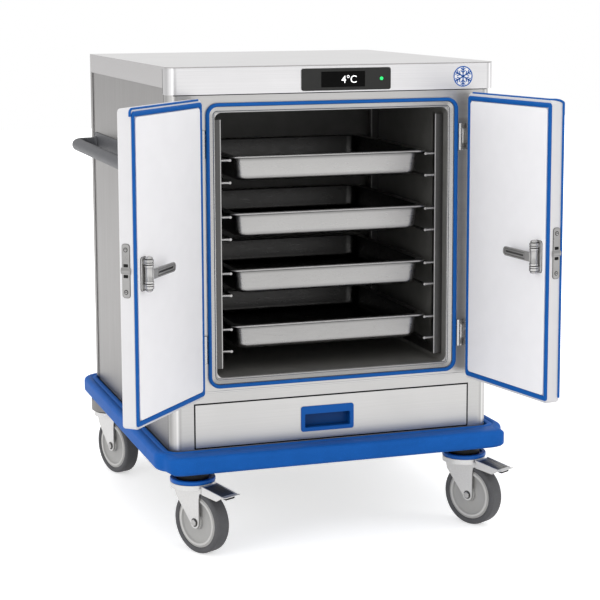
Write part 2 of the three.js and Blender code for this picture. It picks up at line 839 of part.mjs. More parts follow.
// A ring of folded beams open below, a cross beam, a deck under the cooling unit and the rear caster pads.
function chassis() {
  const half = bodyHalf - seat;
  const front = frameFace + seat;
  const back = bodyBack - sheet - seat;
  const top = footHeight - seat;
  const middle = (front + back) / 2;
  const ringFrom = (inset, outward) =>
    framed(
      roundedRect(-half + inset, half - inset, front + inset, back - inset, postRadius - inset),
      roundedRect(-half + outward, half - outward, front + outward, back - outward, postRadius - inset),
    );
  const ring = cut(
    rising(ringFrom(0, beamWidth), bumperBottom, top),
    rising(ringFrom(beamWall, beamWidth - beamWall), bumperBottom - overrun, top - beamWall),
  );
  const crossHalf = half - beamWidth + overrun;
  const crossInside = beamWidth / 2 - beamWall;
  const channel = crossHalf + overrun;
  const cross = cut(
    block(-crossHalf, crossHalf, middle - beamWidth / 2, middle + beamWidth / 2, bumperBottom, top),
    block(
      -channel, channel, middle - crossInside, middle + crossInside, bumperBottom - overrun, top - beamWall,
    ),
  );
  const deck = block(-crossHalf, crossHalf, foamRear + seat, back - beamWall, top - deckPlate, top);
  const pads = casters.filter(({ padded }) => padded).flatMap(({ x, y }) => [
    barZ(x, y, padTop, bumperBottom, padRadius, 2 * smallSides),
    barZ(x, y, padTop, top - beamWall / 2, padPostRadius, smallSides),
  ]);
  const bearers = casters.filter(({ padded }) => !padded).map(({ x, y }) =>
    barZ(x, y + beamWall, bumperBottom, top - beamWall / 2, padPostRadius, smallSides),
  );
  return join(ring, cross, deck, ...pads, ...bearers);
}

// A rounded rail right round the cart, with a step where it meets the cabinet's foot.
function bumper() {
  const half = bodyHalf + bumperSide;
  const front = frameFace - bumperFront;
  const back = bodyBack + bumperRear;
  const bore = bodyHalf + 2 * sheet + seat;
  const boreFront = frameFace - seat;
  const boreBack = bodyBack + seat;
  const options = {
    depth: footHeight - bumperBottom - 2 * bumperRound - 2 * seat,
    bevelThickness: bumperRound,
    bevelSize: bumperRound,
    bevelOffset: -bumperRound,
    bevelSegments: coarseSteps,
    curveSegments: fineSteps,
  };
  const outline = roundedRect(-half, half, front, back, bumperRadius);
  const rail = new THREE.ExtrudeGeometry(outline, options).translate(0, 0, bumperBottom + seat + bumperRound);
  const opening = (grow) => {
    const radius = postRadius + grow;
    return roundedRect(-bore - grow, bore + grow, boreFront - grow, boreBack + grow, radius);
  };
  const hole = rising(opening(0), bumperBottom - overrun, footHeight + overrun);
  const ledge = rising(opening(bumperStepWidth), footHeight - bumperStep, footHeight + overrun);
  return cut(rail, hole, ledge);
}

const atFront = { y: -frontCasterReach, yaw: frontCasterYaw };
const atRear = { y: rearCasterReach, yaw: rearCasterYaw };
const braking = { ...atFront, head: frontHeadRadius, braked: true, padded: false };
const plain = { ...atRear, head: rearHeadRadius, braked: false, padded: true };
const casters = [
  { name: "front_left", x: -frontCasterX, ...braking },
  { name: "front_right", x: frontCasterX, ...braking },
  { name: "rear_left", x: -rearCasterX, ...plain },
  { name: "rear_right", x: rearCasterX, ...plain },
];

// The fork: a swivel head on its bearing, two raked arms down to the axle, which is bolted in them, and
// on a braked caster two ears and a tongue with a cross pin that carries the pedal.
function fork({ head, braked, padded }) {
  const inside = wheelWidth / 2 + forkGap;
  const outside = inside + forkArm;
  const headBottom = forkHeadTop - forkHeadHeight;
  const disc = barZ(0, 0, headBottom, forkHeadTop, head, 2 * smallSides);
  const bearingTop = (padded ? padTop : bumperBottom) - seat;
  const bearing = barZ(0, 0, forkHeadTop - overrun, bearingTop, swivelRadius, wheelSides);
  const back = -head * forkBackShare;
  const footBack = casterTrail - forkFoot;
  const footFront = casterTrail + forkFoot;
  const ear = braked ? pedalStart() - pedalGap : footFront + forkArm;
  const arm = new THREE.Shape();
  arm.moveTo(back, headBottom + forkHeadHeight / 2);
  arm.lineTo(back, headBottom - forkArm);
  arm.lineTo(back + forkArm * 2, forkShoulder);
  arm.lineTo(footBack + forkArm / 3, wheelRadius - forkArm);
  arm.absarc(casterTrail, wheelRadius, forkFoot, Math.PI + forkRake * degree, fullTurn);
  arm.lineTo(footFront, forkShoulder);
  arm.lineTo(footFront + forkArm, forkHeadTop - pedalSideHeight);
  arm.lineTo(ear, forkHeadTop - pedalSideHeight + forkArm / 2);
  arm.lineTo(ear, headBottom + forkHeadHeight / 2);
  const arms = [-outside, inside].map((y) => facing(arm, y, y + forkArm, coarseSteps + 1));
  const axle = barY(casterTrail, wheelRadius, -outside - axleHead, outside + axleHead, axleRadius);
  const heads = [-outside - axleHead, outside].map((y) =>
    barY(casterTrail, wheelRadius, y, y + axleHead, axleHeadRadius, boltSides),
  );
  const parts = [disc, bearing, ...arms, axle, ...heads];
  if (braked) {
    const pinX = pedalStart() + pedalPinAhead;
    const pinZ = forkHeadTop - pedalPinDrop;
    const tongueHalf = pedalTongueWidth / 2;
    const tongueTop = pinZ + pedalPinRadius / 2;
    parts.push(block(0, pinX, -tongueHalf, tongueHalf, pinZ - pedalPinRadius, tongueTop));
    parts.push(barY(pinX, pinZ, -inside + seat, inside - seat, pedalPinRadius, smallSides));
  }
  return join(...parts);
}

function pedalStart() {
  return frontHeadRadius + pedalGap;
}

function hub() {
  const half = wheelWidth / 2;
  const outer = wheelRadius - tyreDepth - seat;
  const face = half - hubRim / 2;
  const web = half - hubDish;
  const boss = [[hubBore, half], [hubBossRadius, half], [hubBossRadius, web]];
  const edge = [...boss, [outer - hubRim, web], [outer, face]];
  const back = edge.map(([radius, along]) => [radius, -along]);
  return turned([...back, ...edge.reverse(), back[0]], wheelSides);
}

function tyre() {
  const half = wheelWidth / 2;
  const inner = wheelRadius - tyreDepth;
  const seatEdge = [inner, half - hubRim / 2];
  const edge = [seatEdge, [wheelRadius - tyreShoulder, half], [wheelRadius, half - tyreShoulder]];
  const back = edge.map(([radius, along]) => [radius, -along]);
  return turned([...back, ...edge.reverse(), back[0]], wheelSides);
}

// A closed profile of radius and place along the axle, turned about the axle, which lies along Y.
function turned(profile, sides) {
  const points = profile.map(([radius, along]) => new THREE.Vector2(radius, along));
  return new THREE.LatheGeometry(points, sides);
}

function collar() {
  const z0 = forkHeadTop + seat;
  const ring = barZ(0, 0, z0, z0 + collarHeight, collarRadius, 2 * smallSides);
  const bore = barZ(0, 0, z0 - overrun, z0 + collarHeight + overrun, swivelRadius + 2 * seat, wheelSides);
  return cut(ring, bore);
}

// The pedal: a plate with folded sides in line with the fork's arms, and a lip at its toe.
function brakePedal() {
  const outside = wheelWidth / 2 + forkGap + forkArm;
  const inside = outside - forkArm;
  const slope = (x) => -pedalDrop * (x / pedalLength);
  const tip = pedalLength + pedalToe;
  const bend = slope(pedalLength);
  const toe = slope(tip) + pedalToeRise;
  const nose = pedalLength - pedalToe * 2;
  const plate = outlineOf([
    [0, -pedalPlate], [pedalLength, bend - pedalPlate], [tip, toe - pedalPlate], [tip, toe],
    [pedalLength, bend], [0, 0],
  ]);
  const side = outlineOf([
    [0, pedalPlate], [0, -pedalSideHeight + pedalPlate],
    [nose, slope(nose) - pedalSideHeight + 2 * pedalPlate],
    [pedalLength, bend - pedalPlate / 2], [pedalLength, bend + pedalPlate / 2],
  ]);
  const top = facing(plate, -outside, outside);
  const sides = [-outside, inside].map((y) => facing(side, y, y + forkArm));
  return join(top, ...sides).translate(-pedalPinAhead, 0, pedalPinDrop - pedalPlate);
}

function caster({ name, x, y, yaw, head, braked, padded }) {
  const swivel = new THREE.Group();
  swivel.position.set(x, y, 0);
  swivel.rotation.z = yaw * degree;
  cart.add(swivel);
  piece(swivel, `caster_fork_${name}`, fork({ head, braked, padded }), "zincSheet");
  const wheel = new THREE.Group();
  wheel.position.set(casterTrail, 0, wheelRadius);
  swivel.add(wheel);
  piece(wheel, `wheel_hub_${name}`, hub(), "greyHub");
  piece(wheel, `tyre_${name}`, tyre(), "greyTyre");
  if (!braked) return;
  piece(swivel, `caster_collar_${name}`, collar(), "bluePlastic");
  const pedal = new THREE.Group();
  pedal.position.set(pedalStart() + pedalPinAhead, 0, forkHeadTop - pedalPinDrop);
  swivel.add(pedal);
  piece(pedal, `brake_pedal_${name}`, brakePedal(), "castZinc");
}

// A bent tube on a backing plate along the left side.
function pushHandle() {
  const wall = -(bodyHalf + seat);
  const plateFace = wall - handlePlate;
  const barAxis = wall - handleReach;
  const stub = plateFace + handlePlate / 2;
  const bend = (y, toward, start) =>
    Array.from({ length: fineSteps + 1 }, (_, i) => {
      const turn = start + (quarterTurn * i) / fineSteps;
      const x = barAxis + handleBend - handleBend * Math.sin(turn);
      return [x, y + toward * handleBend * (1 - Math.cos(turn)), turn];
    });
  const back = bend(handleBackReach, -1, 0);
  const front = bend(handleFront, 1, 0).reverse().map(([x, y, turn]) => [x, y, Math.PI - turn]);
  const stations = [[stub, handleBackReach, 0], ...back, ...front, [stub, handleFront, Math.PI]];
  const rings = stations.map(([x, y, turn]) =>
    Array.from({ length: smallSides }, (_, i) => {
      const angle = (fullTurn * i) / smallSides;
      const across = handleRadius * Math.cos(angle);
      const z = handleHeight - handleRadius * Math.sin(angle);
      return [x - across * Math.sin(turn), y + across * Math.cos(turn), z];
    }),
  );
  const margin = handlePlateMargin;
  const low = handleHeight - handlePlateHeight / 2;
  const high = low + handlePlateHeight;
  const outline = roundedRect(handleFront - margin, handleBackReach + margin, low, high, margin / 2);
  const plate = sideways(outline, plateFace, wall, coarseSteps);
  return join(loft(rings), plate);
}

// Everything on a door is drawn as the door stands closed, with its hinge pin at the origin. The leaf
// runs from the pin towards the cabinet's middle, and side is -1 for the left door and 1 for the right.
function doorGroup(side, word, angle) {
  const door = new THREE.Group();
  door.position.set(side * pinHalfSpacing, frameFace - pinAhead, 0);
  door.rotation.z = side * angle * degree;
  cart.add(door);
  const across = (fromPin) => -side * fromPin;
  const rim = pinBehindRim;
  const outside = rim - doorThickness;
  const free = pinHalfSpacing - meetingHalfGap;
  const levels = Object.values(hingeLevels);

  const inset = (by, radius, end = by + doorEndLap) =>
    roundedRect(across(pinToDoor + by), across(free - by), doorBottom + end, doorTop - end, radius);
  const shell = cushioned(inset(0, doorCornerRadius, 0), outside, rim, doorEdgeRadius);
  const pocket = facing(inset(doorRim, doorSealRadius), outside + doorSheet, rim + overrun, coarseSteps);
  const knuckles = levels.map((z) => {
    const low = z - hingeKnuckleHalf;
    const high = z + hingeKnuckleHalf;
    const lug = block(0, across(pinToDoor + doorSheet), -hingeLug, hingeLug, low, high);
    return join(barZ(0, 0, low, high, hingeBarrelRadius), lug);
  });
  const bores = levels.map((z) =>
    barZ(0, 0, z - hingeHalfHeight, z + hingeHalfHeight, hingeBore, smallSides),
  );
  const leaf = cut(join(cut(shell, pocket), ...knuckles), ...bores);
  piece(door, `door_shell_${word}`, leaf, "whitePanel");

  const panelOutline = inset(doorRim + seat, doorSealRadius - seat);
  const panel = facing(panelOutline, outside + doorSheet + seat, rim + panelProud, coarseSteps);
  piece(door, `door_inner_panel_${word}`, panel, "whitePanel");

  const sealOutline = framed(
    inset(doorSealInset, doorSealRadius),
    inset(doorSealInset + doorSealWidth, doorSealRadius / 2),
  );
  const sealRound = panelProud / 2;
  const seal = cushioned(sealOutline, -rim - panelProud, -rim - seat, sealRound, coarseSteps);
  const sealHeight = doorBottom + doorTop;
  piece(door, `door_seal_${word}`, seal.rotateX(Math.PI).translate(0, 0, sealHeight), "blueRubber");

  latch(door, side, word, across, rim + panelProud + seat);
  catchPlateOn(door, word, across, free, rim);
}

// The release latch on the inner panel: a plate with two capped ears and a pin, and a lever on the pin.
function latch(door, side, word, across, face) {
  const x = across(latchFromPin);
  const axis = face + latchStandoff;
  const half = latchPlateHalfHeight;
  const halfWidth = latchPlateWidth / 2;
  const plate = facing(
    roundedRect(x - halfWidth, x + halfWidth, latchHeight - half, latchHeight + half, latchCap),
    face, face + latchPlate, coarseSteps,
  );
  const ears = [-1, 1].flatMap((up) => {
    const z0 = latchHeight + up * (latchBarrelHalf + seat);
    const z1 = z0 + up * latchKnuckle;
    const low = Math.min(z0, z1);
    const high = Math.max(z0, z1);
    const capStart = z1 - up * seat;
    const capEnd = z1 + up * latchCap;
    return [
      barZ(x, axis, low, high, latchBarrelRadius),
      block(x - latchBarrelRadius, x + latchBarrelRadius, face + latchPlate / 2, axis, low, high),
      barZ(x, axis, Math.min(capStart, capEnd), Math.max(capStart, capEnd), latchCapRadius, smallSides),
    ];
  });
  const pinHalf = latchBarrelHalf + latchKnuckle / 2;
  const pin = barZ(x, axis, latchHeight - pinHalf, latchHeight + pinHalf, latchPinRadius, smallSides);
  piece(door, `latch_base_${word}`, join(plate, ...ears, pin), "castZinc");

  const lever = new THREE.Group();
  lever.position.set(x, axis, latchHeight);
  door.add(lever);
  const toHinge = side;
  const barrel = barZ(0, 0, -latchBarrelHalf, latchBarrelHalf, latchBarrelRadius);
  const tip = leverReach - leverTipWidth / 2;
  const arm = new THREE.Shape();
  arm.moveTo(0, -leverWidth / 2);
  arm.lineTo(toHinge * tip, leverRise - leverTipWidth / 2);
  arm.absarc(toHinge * tip, leverRise, leverTipWidth / 2, -quarterTurn, quarterTurn, toHinge < 0);
  arm.lineTo(0, leverWidth / 2);
  const armFront = latchBarrelRadius;
  const armBack = latchBarrelRadius - leverThickness;
  const blade = facing(arm, armBack, armFront, fineSteps);
  const slotStart = latchBarrelRadius + leverWall;
  const slotLow = (leverRise - leverSlotWidth) / 2;
  const slotRadius = leverSlotWidth / 2 - seat;
  const slot = facing(
    roundedRect(toHinge * slotStart, toHinge * tip, slotLow, slotLow + leverSlotWidth, slotRadius),
    armFront - leverSlotDepth, armFront + overrun, coarseSteps,
  );
  const bore = barZ(0, 0, -latchBarrelHalf - overrun, latchBarrelHalf + overrun, latchBore, smallSides);
  piece(lever, `latch_lever_${word}`, cut(join(barrel, blade), slot, bore), "castZinc");
}

// A long plate on the free edge with a roller between two screws.
function catchPlateOn(door, word, across, free, rim) {
  const y = rim - doorThickness / 2;
  const side = Math.sign(across(1));
  const inner = across(free + seat);
  const outer = inner + side * catchPlate;
  const low = catchHeight - catchHalfHeight;
  const high = catchHeight + catchHalfHeight;
  const outline = roundedRect(y - catchWidth / 2, y + catchWidth / 2, low, high, catchRadius);
  const plate = sideways(outline, inner, outer, coarseSteps);
  const rollerX = across(free + rollerProud) - side * rollerRadius;
  const roller = barY(rollerX, catchHeight, y - rollerLength / 2, y + rollerLength / 2, rollerRadius);
  const trimmed = cut(roller, block(
    inner, inner - side * 2 * rollerRadius, y - rollerLength, y + rollerLength, low, high,
  ));
  const screws = [-1, 1].map((up) => {
    const z = catchHeight + up * (catchHalfHeight - catchScrewInset);
    const sunk = side * catchPlate / 2;
    return barX(y, z, outer - sunk, outer + sunk, catchScrewRadius, smallSides);
  });
  piece(door, `catch_plate_${word}`, join(plate, trimmed, ...screws), "castZinc");
}

// The frame's half of a hinge: a leaf with a round boss, two arms out to the pin, and the pin.
function frameHinge(side, z) {
  const pinX = side * pinHalfSpacing;
  const pinY = frameFace - pinAhead;
  const leafBack = frameFace - seat;
  const leafFront = leafBack - hingeLeaf;
  const armOuter = pinX + side * hingeBarrelRadius;
  const armInner = armOuter - side * hingeArm;
  const low = z - hingeHalfHeight;
  const high = z + hingeHalfHeight;
  const leafEdge = pinX - side * hingeLeafReach;
  const leaf = block(leafEdge, armOuter, leafFront, leafBack, low, high);
  const bossX = leafEdge + side * hingeBossRadius;
  const trim = hingeBossRadius * 2;
  const boss = cut(
    barZ(bossX, leafFront + hingeBossSunk, low, high, hingeBossRadius),
    block(bossX - trim, bossX + trim, leafBack - seat, leafBack + trim, low - overrun, high + overrun),
  );
  const reach = hingeKnuckleHalf + seat;
  const knuckles = [[low, z - reach], [z + reach, high]].flatMap(([from, to]) => [
    barZ(pinX, pinY, from, to, hingeBarrelRadius),
    block(armInner, armOuter, pinY, leafBack, from, to),
  ]);
  const pin = barZ(pinX, pinY, low, high, hingePinRadius, smallSides);
  return join(leaf, boss, ...knuckles, pin);
}

// The cooling unit: a compressor on the deck, and a finned coil whose shroud carries the fan.
function coolingUnit() {
  const middle = (foamRear + bodyBack - sheet) / 2;
  const deck = footHeight;
  const compressorX = bodyHalf / 2 + compressorRadius / 2;
  const start = compressorFoot - overrun;
  const dome = compressorDomeShares.map(([across, up]) => [compressorRadius * across, compressorHeight * up]);
  const can = turned([[0, start], [compressorRadius, start], ...dome], 2 * smallSides).rotateX(quarterTurn);
  const foot = barZ(0, 0, 0, compressorFoot, compressorFootRadius, 2 * smallSides);
  const compressor = join(can, foot).translate(compressorX, middle, deck);
  piece(cart, "compressor", compressor, "blackEnamel");

  const coilX = -bodyHalf / 4;
  const coilBack = bodyBack - sheet - shroudDepth;
  const coilFront = coilBack - condenserDepth;
  const coilMiddle = (coilFront + coilBack) / 2;
  const left = coilX - condenserWidth / 2;
  const right = coilX + condenserWidth / 2;
  const top = deck + condenserHeight;
  const fanLevel = deck + condenserHeight / 2;
  const pitch = condenserWidth / condenserFins;
  const finWidth = pitch * condenserFinShare;
  const core = block(left, right, coilMiddle - condenserCore / 2, coilMiddle + condenserCore / 2, deck, top);
  const fins = Array.from({ length: condenserFins }, (_, i) => {
    const x = left + pitch / 2 + i * pitch;
    return block(x - finWidth / 2, x + finWidth / 2, coilFront, coilBack - shroudPlate / 2, deck, top);
  });
  const shroud = cut(
    block(left, right, coilBack - shroudPlate, coilBack, deck, top),
    barY(coilX, fanLevel, coilBack - 2 * shroudPlate, coilBack + shroudPlate, fanOpening, 2 * smallSides),
  );
  const fanMiddle = coilBack + shroudDepth / 2;
  const motorBack = fanMiddle - fanHubDepth / 2 - seat;
  const motor = barY(coilX, fanLevel, coilMiddle, motorBack, fanHubRadius, smallSides);
  piece(cart, "condenser_coil", join(core, ...fins, shroud, motor), "fins");

  const fan = new THREE.Group();
  fan.position.set(coilX, fanMiddle, fanLevel);
  cart.add(fan);
  const hubBody = barY(0, 0, -fanHubDepth / 2, fanHubDepth / 2, fanHubRadius, smallSides);
  const blades = Array.from({ length: fanBlades }, (_, i) => {
    const reach = fanRadius - fanHubRadius / 2;
    const half = fanBladeWidth / 2;
    const blade = block(-half, half, -fanBladePlate / 2, fanBladePlate / 2, 0, reach);
    blade.rotateZ(fanBladePitch * degree).translate(0, 0, fanHubRadius / 2);
    return blade.rotateY((fullTurn * i) / fanBlades);
  });
  piece(fan, "fan_rotor", join(hubBody, ...blades), "blackEnamel");
}

piece(cart, "worktop_cap", worktopCap(), "steel");
piece(cart, "header_panel", headerPanel(), "steel");
controls();
piece(cart, "side_panel_left", sidePanel(-1), "sideSteel");
piece(cart, "side_panel_right", sidePanel(1), "sideSteel");
piece(cart, "back_panel", backPanel(), "sideSteel");
piece(cart, "front_frame", frontFrame(), "steel");
piece(cart, "frame_seal", frameSeal(), "blueRubber");
piece(cart, "wall_insulation", insulation(), "foam");
piece(cart, "cavity_liner", liner(), "darkLiner");
piece(cart, "pan_rack_left", rack(-1), "steel");
piece(cart, "pan_rack_right", rack(1), "steel");
for (let i = 0; i < panCount; i++) piece(cart, `pan_${i + 1}`, pan(i), "steel");
piece(cart, "drawer", drawerBody(), "steel");
piece(cart, "drawer_pull", drawerPull(), "bluePlastic");
piece(cart, "drawer_runner_left", drawerRunner(-1), "sideSteel");
piece(cart, "drawer_runner_right", drawerRunner(1), "sideSteel");
piece(cart, "chassis", chassis(), "sideSteel");
piece(cart, "bumper", bumper(), "blueRubber");
piece(cart, "push_handle", pushHandle(), "handleGrey");
doorGroup(-1, "left", leftDoorAngle);
doorGroup(1, "right", rightDoorAngle);
for (const [side, word] of [[-1, "left"], [1, "right"]]) {
  for (const [level, z] of Object.entries(hingeLevels)) {
    piece(cart, `frame_hinge_${level}_${word}`, frameHinge(side, z), "castZinc");
  }
}
casters.forEach(caster);
coolingUnit();

// The open doors reach further on one side, so the whole outline's middle is found from the pieces.
cart.updateMatrixWorld(true);
const outline = new THREE.Box3().setFromObject(cart, true);
const middle = outline.getCenter(new THREE.Vector3());
cart.position.set(-middle.x, -middle.y, -outline.min.z);

export default cart;
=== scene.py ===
"""Dresses the insulated cold chain cart: every surface that shows gets its finish, and the forms that the
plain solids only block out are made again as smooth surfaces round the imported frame.

The sizes and colours that a user would change are in the two PropertyGroups. Everything is in metres, in
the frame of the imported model: +Z up from the floor, -Y out of the doors, +X to the right of someone facing
it."""

import json
import math

import bmesh
import bpy
import numpy as np
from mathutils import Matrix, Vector

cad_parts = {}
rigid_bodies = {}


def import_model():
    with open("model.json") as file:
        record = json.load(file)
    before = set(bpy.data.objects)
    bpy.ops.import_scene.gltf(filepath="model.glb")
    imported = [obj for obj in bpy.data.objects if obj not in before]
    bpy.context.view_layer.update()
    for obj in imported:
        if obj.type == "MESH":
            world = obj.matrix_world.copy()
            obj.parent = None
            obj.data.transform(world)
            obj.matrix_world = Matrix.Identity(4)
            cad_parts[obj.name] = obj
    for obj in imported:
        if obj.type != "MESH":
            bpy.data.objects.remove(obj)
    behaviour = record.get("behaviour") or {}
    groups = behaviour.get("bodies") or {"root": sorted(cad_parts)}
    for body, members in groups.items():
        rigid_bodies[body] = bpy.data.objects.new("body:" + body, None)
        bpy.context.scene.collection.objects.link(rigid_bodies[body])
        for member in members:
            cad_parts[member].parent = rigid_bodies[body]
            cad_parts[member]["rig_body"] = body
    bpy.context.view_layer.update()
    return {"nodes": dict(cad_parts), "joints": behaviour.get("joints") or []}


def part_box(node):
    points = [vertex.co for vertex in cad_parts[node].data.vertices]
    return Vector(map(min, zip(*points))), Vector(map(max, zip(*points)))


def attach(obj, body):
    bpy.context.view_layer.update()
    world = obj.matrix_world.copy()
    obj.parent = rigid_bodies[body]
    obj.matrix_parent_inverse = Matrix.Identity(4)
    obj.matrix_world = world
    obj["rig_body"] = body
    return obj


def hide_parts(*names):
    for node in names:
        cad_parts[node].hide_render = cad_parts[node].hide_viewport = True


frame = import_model()

bl_info = {
    "name": "Cold chain cart dresser",
    "version": (1, 0, 0),
    "blender": (4, 5, 0),
    "location": "View3D > Sidebar > Cart",
    "description": "Builds the finished surfaces of an insulated cold chain cart round its packed frame",
    "category": "Add Mesh",
}

MM = 0.001
JOINTS = {joint["name"]: joint for joint in frame["joints"]}
SIDES = {"left": -1, "right": 1}
CORNERS = ("front_left", "front_right", "rear_left", "rear_right")
X, Y, Z = np.eye(3)


def low(node):
    """The lowest corner of a CAD node's box, in metres."""
    return np.array(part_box(node)[0])


def high(node):
    """The highest corner of a CAD node's box, in metres."""
    return np.array(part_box(node)[1])


def ends(node):
    return low(node), high(node)


def body_of(node):
    return frame["nodes"][node]["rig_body"]


def pivot(joint):
    """A joint's place and its axis."""
    return np.array(JOINTS[joint]["pos_m"]), np.array(JOINTS[joint]["axis"])


def cart_middle():
    """The point on the floor under the middle of the worktop, which every symmetric piece is centred
    on."""
    return (low("worktop_cap") + high("worktop_cap")) / 2 * (1, 1, 0)


# Sizes and colours


def length(name, description, millimetres):
    return bpy.props.FloatProperty(
        name=name, description=description, default=millimetres * MM, min=0.0, unit="LENGTH", precision=5
    )


def colour(name, description, red, green, blue):
    """A colour property from the 0 to 255 values that it shows as on screen."""
    values = np.array([red, green, blue]) / 255
    linear = np.where(values <= 0.04045, values / 12.92, ((values + 0.055) / 1.055) ** 2.4)
    return bpy.props.FloatVectorProperty(
        name=name, description=description, subtype="COLOR", size=3, min=0.0, max=1.0, default=tuple(linear)
    )


class CartSizes(bpy.types.PropertyGroup):
    sheet_edge: length("Sheet edge", "Rounding of the folded steel edges", 0.9)
    cap_edge: length("Worktop edge", "Rounding of the worktop's front edge", 2.2)
    pan_sheet: length("Pan sheet", "Thickness of the drawn pans", 1.2)
    pan_rim: length("Pan rim", "Width of the flat rim round a pan", 17.0)
    gasket_bow: length("Gasket bow", "How far the gaskets crown over their edges", 2.6)
    bumper_round: length("Bumper rounding", "Rounding of the bumper's outer edges", 11.0)
    bumper_groove: length("Bumper groove", "Depth of the groove in the top of the bumper", 2.4)
    handle_radius: length("Handle radius", "Radius of the push handle's bar", 16.0)
    tread_round: length("Tread rounding", "Rounding of the tyres' shoulders", 7.0)
    door_edge: length("Door edge", "Rounding of the doors' outer edges", 5.0)
    badge_radius: length("Badge radius", "Radius of the snowflake badge", 24.4)


class CartFinishes(bpy.types.PropertyGroup):
    steel: colour("Steel", "Front frame and its corner posts", 178, 177, 176)
    top_steel: colour("Worktop steel", "Worktop", 214, 213, 213)
    # Painted shade: the worktop's folded band is the worktop's own steel, given a darker colour because its
    # upright faces take less light
    band_steel: colour("Band steel", "The worktop's folded band", 169, 167, 167)
    header_steel: colour("Header steel", "Front header", 209, 208, 209)
    drawer_steel: colour("Drawer steel", "Drawer front and box", 185, 184, 183)
    pan_steel: colour("Pan steel", "Outsides of the drawn pans", 155, 154, 153)
    # Painted shade: a darker copy of the steel, since the side and back sheets face away from the light
    side_steel: colour("Side steel", "Side and back sheets", 129, 127, 126)
    liner: colour("Liner", "Inside of the cavity", 110, 109, 106)
    foam: colour("Foam", "Insulation in the walls", 230, 217, 168)
    blue_rubber: colour("Blue rubber", "Bumper", 26, 91, 172)
    gasket: colour("Blue gasket", "Gaskets and edge beads", 22, 91, 168)
    blue_plastic: colour("Blue plastic", "Drawer pull and caster collars", 14, 90, 172)
    white: colour("Door white", "Doors' inner panels", 246, 245, 247)
    skin: colour("Door skin white", "Doors' shells", 217, 216, 218)
    bezel: colour("Bezel", "Control bezel", 30, 30, 29)
    window: colour("Display", "Glass over the display", 6, 6, 6)
    figures: colour("Figures", "Lit figures in the display", 245, 245, 245)
    light: colour("Status light", "Green lamp", 30, 229, 111)
    cast: colour("Cast fittings", "Latches and hinges", 172, 171, 170)
    zinc: colour("Zinc", "Caster forks", 206, 205, 204)
    tyre: colour("Tyre", "Rubber tread", 84, 84, 86)
    hub: colour("Hub", "Wheel hubs", 166, 165, 163)
    handle: colour("Handle", "Push handle", 70, 71, 75)
    enamel: colour("Enamel", "Compressor and fan", 34, 34, 34)
    fins: colour("Fins", "Condenser coil", 160, 163, 167)


# Shapes, as whole arrays


def plane(origin, across, up, out):
    """A placing rule: (a, b, h) goes to origin + a across + b up + h out."""
    basis = np.array([across, up, out], float)
    return lambda points: np.asarray(origin, float) + np.asarray(points, float) @ basis


def arc(centre, radius, start, end, steps):
    """Points centre + radius (cos t, sin t) with t from start to end, in degrees."""
    t = np.radians(np.linspace(start, end, steps + 1))
    return np.asarray(centre) + radius * np.stack([np.cos(t), np.sin(t)], 1)


def rounded_loop(a0, a1, b0, b1, radius, steps=8):
    """An anticlockwise rectangle whose corners are arcs: corner centre + radius (cos t, sin t) over each
    quarter."""
    a0, a1, b0, b1 = a0 + radius, a1 - radius, b0 + radius, b1 - radius
    places = [(a1, b0, -90), (a1, b1, 0), (a0, b1, 90), (a0, b0, 180)]
    return np.concatenate([arc((a, b), radius, start, start + 90, steps) for a, b, start in places])


def centred(half, half_height, radius, steps=6):
    """A rounded rectangle about the origin, from millimetres."""
    half, tall, radius = half * MM, half_height * MM, radius * MM
    return rounded_loop(-half, half, -tall, tall, radius, steps)


def inward(loop):
    """The mitred inward normals of an anticlockwise loop: the sum of both edges' normals over 1 + their
    dot."""
    edge = np.roll(loop, -1, 0) - loop
    edge = edge / np.linalg.norm(edge, axis=1, keepdims=True)
    normal = np.stack([-edge[:, 1], edge[:, 0]], 1)
    before = np.roll(normal, 1, 0)
    return (normal + before) / (1 + (normal * before).sum(1, keepdims=True))


def grid(points, wrap_rows=False):
    """The four-sided faces of a grid of points whose rows are rings. The end rows are joined to each other,
    or closed by one flat face each."""
    rows, columns = points.shape[:2]
    r = np.arange(rows if wrap_rows else rows - 1)[:, None]
    c = np.arange(columns)[None]
    next_row, next_column = (r + 1) % rows, (c + 1) % columns
    this, above = r * columns, next_row * columns
    corners = [this + c, this + next_column, above + next_column, above + c]
    faces = np.stack(corners, -1).reshape(-1, 4).tolist()
    if not wrap_rows:
        faces.append(list(range(columns))[::-1])
        faces.append(list(range((rows - 1) * columns, rows * columns)))
    return points.reshape(-1, 3), faces


def risen(flat, heights, closed=False):
    """Flat rings of points, each raised to its own height and joined one above another."""
    tall = np.broadcast_to(np.array(heights, float)[:, None, None], flat.shape[:2] + (1,))
    return grid(np.concatenate([flat, tall], 2), wrap_rows=closed)


def carried(loop, profile, closed=False):
    """A profile of (inset, height) carried round a loop: point (k, i) is loop point i moved inset k along
    its inward normal, at height k. A closed profile makes a ring, and an open one is capped flat at its
    ends."""
    inset, height = np.asarray(profile, float).T
    return risen(loop[None] + inset[:, None, None] * inward(loop)[None], height, closed)


def stacked(rows):
    """Loops of equal length, each at its own height, joined one above another and closed flat at both
    ends."""
    loops, heights = zip(*rows)
    return risen(np.stack(loops), heights)


def slab(loop, h0, h1, edge, steps=4, lower_edge=None):
    """A loop given a thickness: insets e (1 - sin t) and heights h0 + e (1 - cos t) at each end round its
    edges."""
    under = edge if lower_edge is None else lower_edge
    lower = [(under * (1 - math.sin(t)), h0 + under * (1 - math.cos(t))) for t in quarter(steps)]
    upper = [(edge * (1 - math.cos(t)), h1 - edge * (1 - math.sin(t))) for t in quarter(steps)]
    return carried(loop, lower + upper)


def quarter(steps):
    """Angles over a quarter turn, in radians."""
    return np.linspace(0, math.pi / 2, steps + 1)


def turned(profile, steps, closed=True):
    """A profile of (radius, height) turned about the height axis: (r cos t, r sin t, h)."""
    radius, height = np.asarray(profile, float).T
    return risen(radius[:, None, None] * circle(1.0, steps)[None], height, closed)


